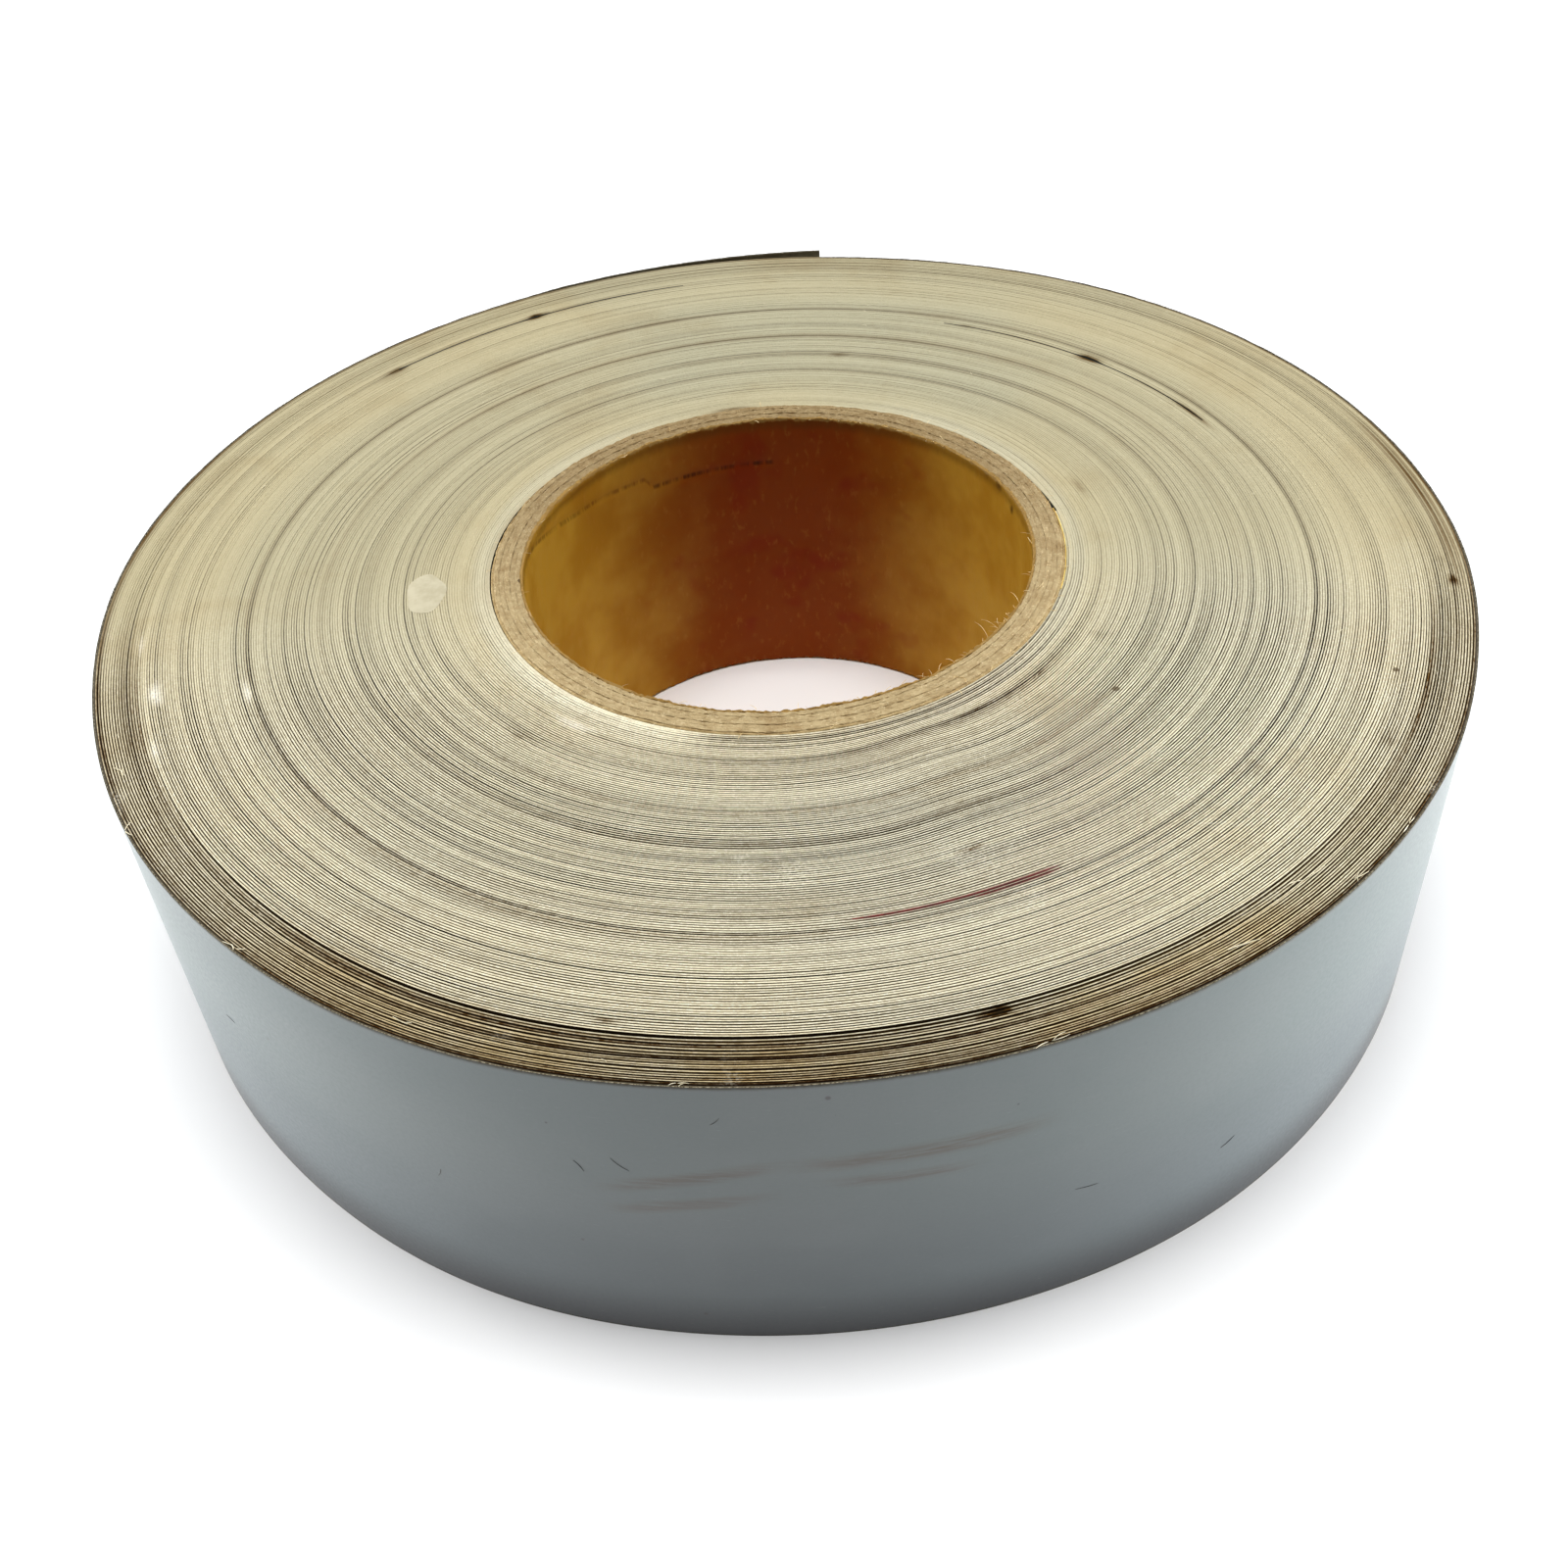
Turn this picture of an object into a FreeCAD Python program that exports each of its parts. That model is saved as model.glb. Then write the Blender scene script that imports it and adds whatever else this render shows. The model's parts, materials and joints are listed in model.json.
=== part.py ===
"""A heavy roll of duct tape: a spiral-wound paper core, three spliced lengths of tape and a lifted free end.

Millimetres and degrees, with +Z up along the bore and the origin at the bore's centre on the bottom face.
The tape winds clockwise seen from above, so the roll's radius grows as the angle about +Z falls.
"""
import FreeCAD, Part
import math
import os

import Sketcher
from FreeCAD import Placement, Rotation, Vector

# Alias, value and meaning of each driving dimension
DIMENSIONS = [
    ("tape_width", 50.0, "width of the tape, and length of the core"),
    ("bore_radius", 38.1, "standard 3 inch core"),
    ("liner_thick", 0.4, "kraft liner, inside and outside the core"),
    ("ply_thick", 0.79, "one ply of chipboard in the core's wall"),
    ("film_thick", 0.08, "grey polyethylene face of the tape"),
    ("cloth_thick", 0.13, "woven backing of the tape"),
    ("adhesive_thick", 0.16, "rubber adhesive, on the side towards the core"),
    ("start_tab_thick", 0.15, "adhesive tab that holds the first turn on the core"),
    ("start_tab_length", 21.0, "length of that tab round the core"),
    ("start_tab_angle", -20.0, "where that tab starts"),
    ("first_splice_radius", 75.83, "start of the last turn of the first length"),
    ("first_splice_angle", 43.5, "where the first length ends and the second starts"),
    ("second_splice_radius", 91.7, "start of the last turn of the second length"),
    ("second_splice_angle", 117.0, "where the second length ends and the third starts"),
    ("patch_length", 57.0, "strip of splicing tape laid over each butt joint"),
    ("patch_thick", 0.2, "thickness of the splicing tape"),
    ("marker_radius", 77.05, "inner face of the red splice marker"),
    ("marker_angle", 274.4, "where the marker starts"),
    ("marker_length", 25.6, "long leaf of the marker"),
    ("marker_thick", 0.2, "thickness of the long leaf"),
    ("fold_angle", 285.4, "where the short folded leaf starts"),
    ("fold_length", 11.0, "short leaf of the marker"),
    ("fold_thick", 0.12, "thickness of the short leaf"),
    ("fold_spacing", 0.22, "tape between the two leaves"),
    ("wound_radius", 100.1, "start of the last wound turn, under the outermost one"),
    ("free_end_angle", 83.0, "where the last wound turn starts, below the free end"),
    ("tail_root_angle", 117.0, "where the outermost turn stops sticking to the roll"),
    ("tail_root_gap", 0.3, "clearance under the root of the lifted tail"),
    ("tail_radius", 112.7, "curl of the lifted tail, at its sticky face"),
    ("tail_length", 60.0, "length of the lifted tail"),
    ("tail_seam", 0.2, "clearance between neighbouring lengths of the tail"),
]
CORE_PLIES = 5
TAIL_SEGMENTS = 4

# Expressions over the sheet's cells
TAPE = "(Sizes.film_thick + Sizes.cloth_thick + Sizes.adhesive_thick)"
CORE_RADIUS = f"(Sizes.bore_radius + 2 * Sizes.liner_thick + {CORE_PLIES} * Sizes.ply_thick)"
WOUND_END_RADIUS = f"(Sizes.wound_radius + {TAPE} / 2)"
LAYERS = [
    ("adhesive", "0", "Sizes.adhesive_thick"),
    ("cloth", "Sizes.adhesive_thick", "(Sizes.adhesive_thick + Sizes.cloth_thick)"),
    ("film", "(Sizes.adhesive_thick + Sizes.cloth_thick)", TAPE),
]

doc = FreeCAD.newDocument("duct_tape_roll")
sheet = doc.addObject("Spreadsheet::Sheet", "Sizes")
pieces = []


def fill_sheet():
    for row, (alias, value, meaning) in enumerate(DIMENSIONS, start=1):
        sheet.set(f"A{row}", meaning)
        sheet.set(f"B{row}", str(value))
        sheet.setAlias(f"B{row}", alias)
    doc.recompute()


def number(expression):
    """The present value of an expression over the sheet, as a plain number."""
    value = sheet.evalExpression(expression)
    return float(getattr(value, "Value", value))


def degrees(length, radius):
    """The angle of an arc of that length, as an expression in degrees."""
    return f"({length} / {radius} * 180 / pi)"


def polar(radius, angle, centre=Vector()):
    turn = math.radians(angle)
    return centre + Vector(radius * math.cos(turn), radius * math.sin(turn), 0)


def arc(centre, radius, start, end):
    circle = Part.Circle(centre, Vector(0, 0, 1), radius)
    return Part.ArcOfCircle(circle, math.radians(start), math.radians(end))


def new_body(label):
    body = doc.addObject("PartDesign::Body", label)
    body.Label = label
    pieces.append(body)
    return body


def new_sketch(body, name):
    """A sketch on the body's own bottom plane."""
    sketch = body.newObject("Sketcher::SketchObject", name)
    plane = next(f for f in body.Origin.OriginFeatures if f.Role == "XY_Plane")
    sketch.AttachmentSupport = [(plane, "")]
    sketch.MapMode = "FlatFace"
    return sketch


def rule(sketch, kind, *numbers):
    return sketch.addConstraint(Sketcher.Constraint(kind, *numbers))


def size_rule(sketch, kind, *numbers, expression, unit=""):
    """A constraint whose value is bound to an expression over the sheet."""
    value = number(expression)
    if kind == "Angle":
        value = math.radians(value)
    index = rule(sketch, kind, *numbers, value)
    sketch.setExpression(f"Constraints[{index}]", f"{expression}{unit}")


def join(sketch, *point_pairs):
    for pair in point_pairs:
        rule(sketch, "Coincident", *pair)


def on_line(sketch, line, *points):
    for geometry, point in points:
        rule(sketch, "PointOnObject", geometry, point, line)


def pad(body, sketch):
    solid = body.newObject("PartDesign::Pad", "Width")
    solid.Profile = sketch
    solid.setExpression("Length", "Sizes.tape_width")
    return body


def place(target, name, x, y, angle):
    """Binds the placement called name of a body or sketch to a centre and a turn about +Z."""
    setattr(target, name, Placement(Vector(), Rotation(Vector(0, 0, 1), 1)))
    target.setExpression(f"{name}.Base.x", x)
    target.setExpression(f"{name}.Base.y", y)
    target.setExpression(f"{name}.Rotation.Angle", angle)


def shifted(distance, angle):
    """The x and y expressions of a point at that distance and angle from the bore's axis."""
    return f"{distance} * cos({angle} * 1 deg)", f"{distance} * sin({angle} * 1 deg)"


def make_tube(label, inner, outer):
    """A ply of the core: a plain tube round the bore."""
    body = new_body(label)
    sketch = new_sketch(body, "Rings")
    for radius in (inner, outer):
        ring = sketch.addGeometry(Part.Circle(Vector(), Vector(0, 0, 1), number(radius)))
        join(sketch, (ring, 3, -1, 1))
        size_rule(sketch, "Radius", ring, expression=radius)
    return pad(body, sketch)


def draw_sector(sketch, inner, outer, span):
    """A strip bent to an arc about the sketch's origin, from the X axis round by span degrees."""
    low, high, sweep = number(inner), number(outer), number(span)
    inside = sketch.addGeometry(arc(Vector(), low, 0, sweep))
    outside = sketch.addGeometry(arc(Vector(), high, 0, sweep))
    first = sketch.addGeometry(Part.LineSegment(polar(low, 0), polar(high, 0)))
    last = sketch.addGeometry(Part.LineSegment(polar(low, sweep), polar(high, sweep)))
    join(
        sketch,
        (inside, 3, -1, 1),
        (outside, 3, -1, 1),
        (first, 1, inside, 1),
        (first, 2, outside, 1),
        (last, 1, inside, 2),
        (last, 2, outside, 2),
    )
    rule(sketch, "PointOnObject", inside, 1, -1)
    rule(sketch, "PointOnObject", outside, 1, -1)
    rule(sketch, "PointOnObject", -1, 1, last)
    size_rule(sketch, "Radius", inside, expression=inner)
    size_rule(sketch, "Radius", outside, expression=outer)
    size_rule(sketch, "Angle", last, expression=span, unit=" * 1 deg")


def make_sector(label, inner, outer, span, x, y, angle):
    """A separate thin strip, bent to an arc about the point (x, y)."""
    body = new_body(label)
    sketch = new_sketch(body, "Strip")
    draw_sector(sketch, inner, outer, span)
    place(body, "Placement", x, y, angle)
    return pad(body, sketch)


def cut_slot(body, inner, outer, span, x, y, angle):
    """Clears a strip's space out of the wound tape, over the tape's whole width."""
    doc.recompute()
    before = body.Shape.Volume
    sketch = new_sketch(body, "SlotOutline")
    draw_sector(sketch, inner, outer, span)
    place(sketch, "AttachmentOffset", x, y, angle)
    slot = body.newObject("PartDesign::Pocket", "Slot")
    slot.Profile = sketch
    slot.Reversed = True
    slot.setExpression("Length", "Sizes.tape_width")
    doc.recompute()
    assert body.Shape.Volume < before, f"a slot cut nothing out of {body.Label}"


def draw_turn(sketch, radius, angle):
    """One clockwise turn of the spiral as two half circles, closed by a step of one tape thickness.

    The second half circle's centre lies half a thickness from the bore's axis, towards the step.
    """
    start, turn, shift = number(radius), number(angle), number(TAPE) / 2
    centre = polar(shift, turn)
    axis = sketch.addGeometry(Part.LineSegment(Vector(), polar(start, turn)), True)
    first = sketch.addGeometry(arc(Vector(), start, turn - 180, turn))
    second = sketch.addGeometry(arc(centre, start + shift, turn, turn + 180))
    step = sketch.addGeometry(Part.LineSegment(polar(start, turn), polar(start + 2 * shift, turn)))
    join(
        sketch,
        (axis, 1, -1, 1),
        (axis, 2, first, 2),
        (first, 3, -1, 1),
        (first, 1, second, 2),
        (step, 1, first, 2),
        (step, 2, second, 1),
    )
    on_line(sketch, axis, (second, 3), (first, 1), (second, 1))
    size_rule(sketch, "Radius", first, expression=radius)
    size_rule(sketch, "Angle", axis, expression=angle, unit=" * 1 deg")
    size_rule(sketch, "Distance", -1, 1, second, 3, expression=f"{TAPE} / 2")


def make_wound_length(label, outer_turn, inner_turn=None):
    """A spliced length of tape, wound tight: between the core or one turn, and a later turn."""
    body = new_body(label)
    sketch = new_sketch(body, "Turns")
    draw_turn(sketch, *outer_turn)
    if inner_turn:
        draw_turn(sketch, *inner_turn)
    else:
        ring = sketch.addGeometry(Part.Circle(Vector(), Vector(0, 0, 1), number(CORE_RADIUS)))
        join(sketch, (ring, 3, -1, 1))
        size_rule(sketch, "Radius", ring, expression=CORE_RADIUS)
    return pad(body, sketch)


def make_outer_layer(label, low, high):
    """One layer of the outermost turn, from the step below the free end round to the tail's root."""
    body = new_body(label)
    sketch = new_sketch(body, "Layer")
    step, root = number("Sizes.free_end_angle"), number("Sizes.tail_root_angle")
    shift = number(TAPE) / 2
    centre = polar(shift, step)
    radii = [f"(Sizes.wound_radius + {offset})" for offset in (low, high)]
    inner, outer = number(radii[0]), number(radii[1])
    opposite = step + 180
    inside = sketch.addGeometry(arc(Vector(), inner, step - 180, step))
    outside = sketch.addGeometry(arc(Vector(), outer, step - 180, step))
    inside_end = sketch.addGeometry(arc(centre, inner + shift, root, opposite))
    outside_end = sketch.addGeometry(arc(centre, outer + shift, root, opposite))
    axis = sketch.addGeometry(Part.LineSegment(Vector(), polar(outer, step)), True)
    tail_root = polar(outer + shift, root, centre)
    spoke = sketch.addGeometry(Part.LineSegment(centre, tail_root), True)
    start_face = sketch.addGeometry(Part.LineSegment(polar(inner, step), polar(outer, step)))
    end_face = sketch.addGeometry(
        Part.LineSegment(polar(inner + shift, root, centre), tail_root)
    )
    join(
        sketch,
        (axis, 1, -1, 1),
        (axis, 2, outside, 2),
        (inside, 3, -1, 1),
        (outside, 3, -1, 1),
        (inside_end, 3, outside_end, 3),
        (inside, 1, inside_end, 2),
        (outside, 1, outside_end, 2),
        (spoke, 1, outside_end, 3),
        (spoke, 2, outside_end, 1),
        (start_face, 1, inside, 2),
        (start_face, 2, outside, 2),
        (end_face, 1, inside_end, 1),
        (end_face, 2, outside_end, 1),
    )
    on_line(sketch, axis, (outside_end, 3), (inside, 1), (outside, 1), (inside, 2))
    on_line(sketch, spoke, (inside_end, 1))
    size_rule(sketch, "Radius", inside, expression=radii[0])
    size_rule(sketch, "Radius", outside, expression=radii[1])
    size_rule(sketch, "Angle", axis, expression="Sizes.free_end_angle", unit=" * 1 deg")
    size_rule(sketch, "Angle", spoke, expression="Sizes.tail_root_angle", unit=" * 1 deg")
    size_rule(sketch, "Distance", -1, 1, outside_end, 3, expression=f"{TAPE} / 2")
    return pad(body, sketch)


def build_core():
    """Liner, chipboard plies and liner again, from the bore outwards."""
    plies = [("core_inner_liner", "Sizes.liner_thick")]
    plies += [(f"core_ply_{n}", "Sizes.ply_thick") for n in range(1, CORE_PLIES + 1)]
    plies += [("core_outer_liner", "Sizes.liner_thick")]
    inner = "Sizes.bore_radius"
    for label, thickness in plies:
        outer = f"({inner} + {thickness})"
        make_tube(label, inner, outer)
        inner = outer


def build_wound_tape():
    """The three spliced lengths, with each strip between their turns in a slot of its own."""
    first_turn = ("Sizes.first_splice_radius", "Sizes.first_splice_angle")
    second_turn = ("Sizes.second_splice_radius", "Sizes.second_splice_angle")
    last_turn = ("Sizes.wound_radius", "Sizes.free_end_angle")
    lengths = [
        make_wound_length("tape_length_1", first_turn),
        make_wound_length("tape_length_2", second_turn, first_turn),
        make_wound_length("tape_length_3", last_turn, second_turn),
    ]
    tab_end = f"({CORE_RADIUS} + Sizes.start_tab_thick)"
    tab_span = degrees("Sizes.start_tab_length", CORE_RADIUS)
    strips = [
        ("start_tab", lengths[0], CORE_RADIUS, tab_end, tab_span, "0", "0", "Sizes.start_tab_angle"),
    ]
    for label, length, (radius, angle) in (
        ("splice_patch_1", lengths[1], first_turn),
        ("splice_patch_2", lengths[2], second_turn),
    ):
        inner = f"({radius} + {TAPE} / 2)"
        outer = f"({inner} + Sizes.patch_thick)"
        span = degrees("Sizes.patch_length", inner)
        x, y = shifted(f"{TAPE} / 2", angle)
        strips.append((label, length, inner, outer, span, x, y, f"({angle} - {span} / 2)"))
    marker_outer = "(Sizes.marker_radius + Sizes.marker_thick)"
    fold_inner = f"({marker_outer} + Sizes.fold_spacing)"
    fold_outer = f"({fold_inner} + Sizes.fold_thick)"
    marker_span = degrees("Sizes.marker_length", "Sizes.marker_radius")
    fold_span = degrees("Sizes.fold_length", "Sizes.marker_radius")
    strips += [
        ("splice_marker_long_leaf", lengths[1], "Sizes.marker_radius", marker_outer, marker_span,
         "0", "0", "Sizes.marker_angle"),
        ("splice_marker_short_leaf", lengths[1], fold_inner, fold_outer, fold_span,
         "0", "0", "Sizes.fold_angle"),
    ]
    for label, length, inner, outer, span, x, y, angle in strips:
        make_sector(label, inner, outer, span, x, y, angle)
        cut_slot(length, inner, outer, span, x, y, angle)


def build_tail():
    """The lifted free end, cut in short lengths that turn on each other, each in three layers."""
    curl_offset = f"(Sizes.tail_radius - {WOUND_END_RADIUS} - Sizes.tail_root_gap)"
    spiral_x, spiral_y = shifted(f"{TAPE} / 2", "Sizes.free_end_angle")
    back_x, back_y = shifted(curl_offset, "Sizes.tail_root_angle")
    x, y = f"({spiral_x} - {back_x})", f"({spiral_y} - {back_y})"
    pitch = degrees(f"(Sizes.tail_length / {TAIL_SEGMENTS})", "Sizes.tail_radius")
    seam = degrees("Sizes.tail_seam", "Sizes.tail_radius")
    span = f"({pitch} - {seam})"
    for number_in_chain in range(1, TAIL_SEGMENTS + 1):
        angle = f"(Sizes.tail_root_angle - {number_in_chain} * {pitch})"
        for layer, low, high in LAYERS:
            inner, outer = f"(Sizes.tail_radius + {low})", f"(Sizes.tail_radius + {high})"
            make_sector(f"tail_{layer}_{number_in_chain}", inner, outer, span, x, y, angle)


def check_document():
    for item in doc.Objects:
        assert not {"Invalid", "Error"} & set(item.State), f"{item.Label} is {item.State}"
    for body in pieces:
        assert not body.Shape.isNull() and body.Shape.isValid(), f"{body.Label} has a bad shape"
        assert len(body.Shape.Solids) == 1, f"{body.Label} isn't one solid"
    for sketch in doc.findObjects("Sketcher::SketchObject"):
        assert sketch.FullyConstrained, f"{sketch.Label} isn't fully constrained"


def write_steps():
    os.makedirs("parts", exist_ok=True)
    for body in pieces:
        body.Shape.exportStep(f"parts/{body.Label}.step")
        print(f"{body.Label:26s} {body.Shape.Volume / 1000:9.3f} cm3")


fill_sheet()
build_core()
build_wound_tape()
for layer, low, high in LAYERS:
    make_outer_layer(f"outer_turn_{layer}", low, high)
build_tail()
doc.recompute()
check_document()
write_steps()
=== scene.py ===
"""The looks of the duct tape roll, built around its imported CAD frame.

The tape is one strip wound clockwise seen from above. A place on it is given by its turns: how many
turns it lies outside the start of the winding, counted along the strip. A turn's inner face at an arm
position s is at turns s, and its outer face, which the next turn lies on, is at turns s + 1.
Lengths are in metres, angles in radians about +Z, and the roll's axis is the Z axis.
"""
import json
import math

import bpy
import numpy as np
from mathutils import Matrix, Vector


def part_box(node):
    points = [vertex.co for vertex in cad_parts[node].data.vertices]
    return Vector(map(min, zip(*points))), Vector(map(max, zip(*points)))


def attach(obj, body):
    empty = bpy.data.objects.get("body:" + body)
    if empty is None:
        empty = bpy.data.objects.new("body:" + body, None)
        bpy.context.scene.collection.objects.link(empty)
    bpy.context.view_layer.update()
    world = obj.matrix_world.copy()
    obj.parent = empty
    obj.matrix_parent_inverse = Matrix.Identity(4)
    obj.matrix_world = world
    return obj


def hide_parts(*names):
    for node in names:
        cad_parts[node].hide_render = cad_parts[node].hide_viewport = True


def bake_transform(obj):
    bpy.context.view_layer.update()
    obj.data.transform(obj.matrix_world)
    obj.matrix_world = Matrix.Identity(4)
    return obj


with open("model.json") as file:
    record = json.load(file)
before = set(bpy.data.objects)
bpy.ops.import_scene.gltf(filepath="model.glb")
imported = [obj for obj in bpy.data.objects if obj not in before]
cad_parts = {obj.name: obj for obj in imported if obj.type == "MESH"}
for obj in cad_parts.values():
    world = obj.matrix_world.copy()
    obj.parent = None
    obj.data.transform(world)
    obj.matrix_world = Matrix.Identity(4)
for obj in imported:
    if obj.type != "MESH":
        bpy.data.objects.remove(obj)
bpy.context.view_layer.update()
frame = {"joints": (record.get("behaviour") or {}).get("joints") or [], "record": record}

MM = 0.001
TURN = 2 * math.pi

# Sizes of the frame
BORE = next(m for m in frame["record"]["mounts"] if m["name"] == "bore")
BORE_RADIUS = BORE["dims"]["r_mm"] * MM
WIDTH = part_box("tape_length_1")[1].z
CORE_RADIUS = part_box("core_outer_liner")[1].x

# The same driving dimensions as the CAD source
FILM, CLOTH, ADHESIVE = 0.08 * MM, 0.13 * MM, 0.16 * MM
TAPE = FILM + CLOTH + ADHESIVE
FIRST_SPLICE = (75.83 * MM, math.radians(43.5))
SECOND_SPLICE = (91.7 * MM, math.radians(117))
WOUND_END = (100.1 * MM, math.radians(83))
PATCH_LENGTH, PATCH_THICK = 57 * MM, 0.2 * MM
MARKER = (math.radians(274.4), math.radians(293.7), 0.2 * MM)
FOLD = (math.radians(285.4), math.radians(293.7), 0.12 * MM)
TAIL_ROOT = math.radians(117)
TAIL_GAP = 0.3 * MM
TAIL_RADIUS = 112.7 * MM
TAIL_LENGTH = 60 * MM
TAIL_PITCH = 15 * MM
HALF_BEND = 4.5 * MM

# The winding: where the strip starts on the core, and how closely its first turn fits
START_ANGLE = math.radians(7.5)
START_GAP = 0.03 * MM
TAB = (math.radians(-20), 21 * MM, 0.14 * MM)


def turns_after(turns, angle, later):
    """The turns at the next place on the strip, clockwise, that lies at the angle called later."""
    return turns + ((angle - later) % TURN) / TURN


def turns_between(start, end):
    """How many turns of tape lie between two places on the strip, each a radius and an angle."""
    turns = turns_after(0, start[1], end[1])
    return turns + round((end[0] - start[0]) / TAPE - turns)


WOUND_START = (CORE_RADIUS + START_GAP, START_ANGLE)
FIRST_END = turns_between(WOUND_START, FIRST_SPLICE)
SECOND_END = FIRST_END + turns_between(FIRST_SPLICE, SECOND_SPLICE)
THIRD_END = SECOND_END + turns_between(SECOND_SPLICE, WOUND_END)


def outermost_turns(angle):
    """The turns at an angle of the outermost turn, which starts where the wound lengths end."""
    return turns_after(THIRD_END, WOUND_END[1], angle)


ROOT_TURNS = outermost_turns(TAIL_ROOT)
KNOT_TURNS = [0, FIRST_END, SECOND_END, THIRD_END, THIRD_END + 2]
KNOT_RADII = [place[0] for place in (WOUND_START, FIRST_SPLICE, SECOND_SPLICE, WOUND_END)]
KNOT_RADII.append(WOUND_END[0] + 2 * TAPE)


def radius_at(turns):
    return np.interp(turns, KNOT_TURNS, KNOT_RADII)


def turns_at(radius):
    return np.interp(radius, KNOT_RADII, KNOT_TURNS)


# ---------------------------------------------------------------- numbers that wander

def smooth(value, low, high):
    """0 up to low, 1 from high, and a smooth rise between them."""
    t = np.clip((np.asarray(value, float) - low) / (high - low), 0, 1)
    return t * t * (3 - 2 * t)


def wander(place, spacing, seed):
    """Smooth random numbers from -1 to 1 along a line, with a new one every spacing."""
    knots = np.random.default_rng(seed).uniform(-1, 1, 8192)
    x = np.asarray(place, float) / spacing
    i = np.floor(x).astype(int)
    t = smooth(x - i, 0, 1)
    return knots[i % 8192] * (1 - t) + knots[(i + 1) % 8192] * t


def ripple(angle, orders, seed):
    """Smooth random numbers from about -1 to 1 round the roll, made of waves of those orders."""
    phases = np.random.default_rng(seed).uniform(0, TURN, len(orders))
    total = sum(np.cos(k * np.asarray(angle) + p) for k, p in zip(orders, phases))
    return total / math.sqrt(len(orders))


def wrapped(angle):
    """The same direction as an angle from minus half a turn to half a turn."""
    return (angle + math.pi) % TURN - math.pi


def bump(angle, centre, half_width):
    """1 at an angle called centre, in degrees, falling off to both sides."""
    away = wrapped(np.asarray(angle) - math.radians(centre))
    return np.exp(-((away / math.radians(half_width)) ** 2))


# ---------------------------------------------------------------- strips between the turns

class Strip:
    """A thin strip between two turns, which holds the turns outside it apart."""

    def __init__(self, turns, angle, first, last, thickness, voids=()):
        self.turns, self.angle, self.thickness, self.voids = turns, angle, thickness, voids
        self.first, self.last = first, last
        self.span = (turns - (last - angle) / TURN, turns - (first - angle) / TURN)

    def reach(self, turns, angle, before, within):
        """How far outside the strip a place is, in turns, and how fully its angle is on the strip.

        before and within are how far its ends fade out, in radians off the strip and on it.
        """
        away = wrapped(angle - self.angle)
        start, end = self.first - self.angle, self.last - self.angle
        outside = turns - (self.turns - away / TURN)
        begun = smooth(away, start - before, start + within)
        return outside, begun * (1 - smooth(away, end - within, end + before))

    def lift(self, turns, angle, row):
        """How far the strip pushes out a place. row is the share of a turn that its slot takes up."""
        outside, reach = self.reach(turns, angle, 0.06, 0.02)
        height = (self.thickness - TAPE * row) * reach
        for degrees, half_width, size in self.voids:
            height = height + size * MM * bump(angle, degrees, half_width)
        return height * smooth(outside, row * 0.02, row) * np.exp(-np.clip(outside, 0, 99) / 5)


def patch(splice, turns, voids):
    half = PATCH_LENGTH / (splice[0] + TAPE) / 2
    return Strip(turns + 1, splice[1], splice[1] - half, splice[1] + half, PATCH_THICK, voids)


def leaf(first, last, thickness, extra_turns):
    middle = (first + last) / 2
    turns = turns_after(FIRST_END, FIRST_SPLICE[1], middle) + extra_turns
    return Strip(turns, middle, first, last, thickness)


# Each void is its angle and half width in degrees, and how far it opens in millimetres
PATCH_1 = patch(FIRST_SPLICE, FIRST_END, [(42.8, 1.5, 0.5), (26, 2.5, 0.1)])
PATCH_2 = patch(SECOND_SPLICE, SECOND_END, [(116.9, 1.2, 0.3), (135.4, 1.3, 0.25), (109, 4, 0.08)])
LONG_LEAF = leaf(*MARKER, 3)
SHORT_LEAF = leaf(*FOLD, 4)
STRIPS = [PATCH_1, PATCH_2, LONG_LEAF, SHORT_LEAF]
ROWS = {1: 3, 2: 4, 3: 4}


# The outside is a little flattened in some places and swollen in others: each one's middle and half
# width in degrees, and how far it stands out in millimetres
OUT_OF_ROUND = [
    (5, 14, -0.35),
    (76, 13, -0.6),
    (196, 18, -0.75),
    (246, 18, 0.6),
    (300, 14, 0.25),
    (340, 12, -0.75),
]


def start_steps(turns):
    """How far the first turns lie inside an even spiral: they hug the core, then step over their start."""
    whole = np.floor(turns)
    share = turns - whole
    return (smooth(share, 0.965, 0.998) - share) * np.exp(-whole / 5) * TAPE


def roll_radius(turns, angle, row=0.25):
    """The radius of a place on the winding, with its waves, strips and loose first turns."""
    turns, angle = np.asarray(turns, float), np.asarray(angle, float)
    radius = radius_at(turns)
    plain = radius / MM
    loose = 0.3 * bump(angle, 167, 32) + 0.2 * bump(angle, 32, 38) + 0.08 * bump(angle, 98, 8)
    radius = radius + start_steps(turns) + MM * loose * np.exp(-turns / 4)
    past_tab = (angle - TAB[0]) % TURN * CORE_RADIUS / MM
    on_tab = smooth(past_tab, 0, 1.2) * (1 - smooth(past_tab, TAB[1] / MM, TAB[1] / MM + 1.5))
    radius = radius + (TAB[2] + 0.01 * MM) * on_tab * np.exp(-turns / 4)
    for strip in STRIPS:
        radius = radius + strip.lift(turns, angle, row)
    bulk = smooth(plain, 43, 56) * (1 - smooth(plain, 62, 88))
    wave = smooth(plain, 43, 50) * (1 - smooth(plain, 66, 84))
    radius = radius - 0.9 * MM * wave * bump(angle, 290, 8)
    radius = radius + 0.12 * MM * bulk * ripple(angle, (2, 3, 5, 7), 5)
    swell = sum(size * bump(angle, middle, half_width) for middle, half_width, size in OUT_OF_ROUND)
    swell = swell - 0.1 + 0.06 * ripple(angle, (5, 7, 11), 9)
    return radius + MM * smooth(plain, 70, 100) * swell


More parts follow.
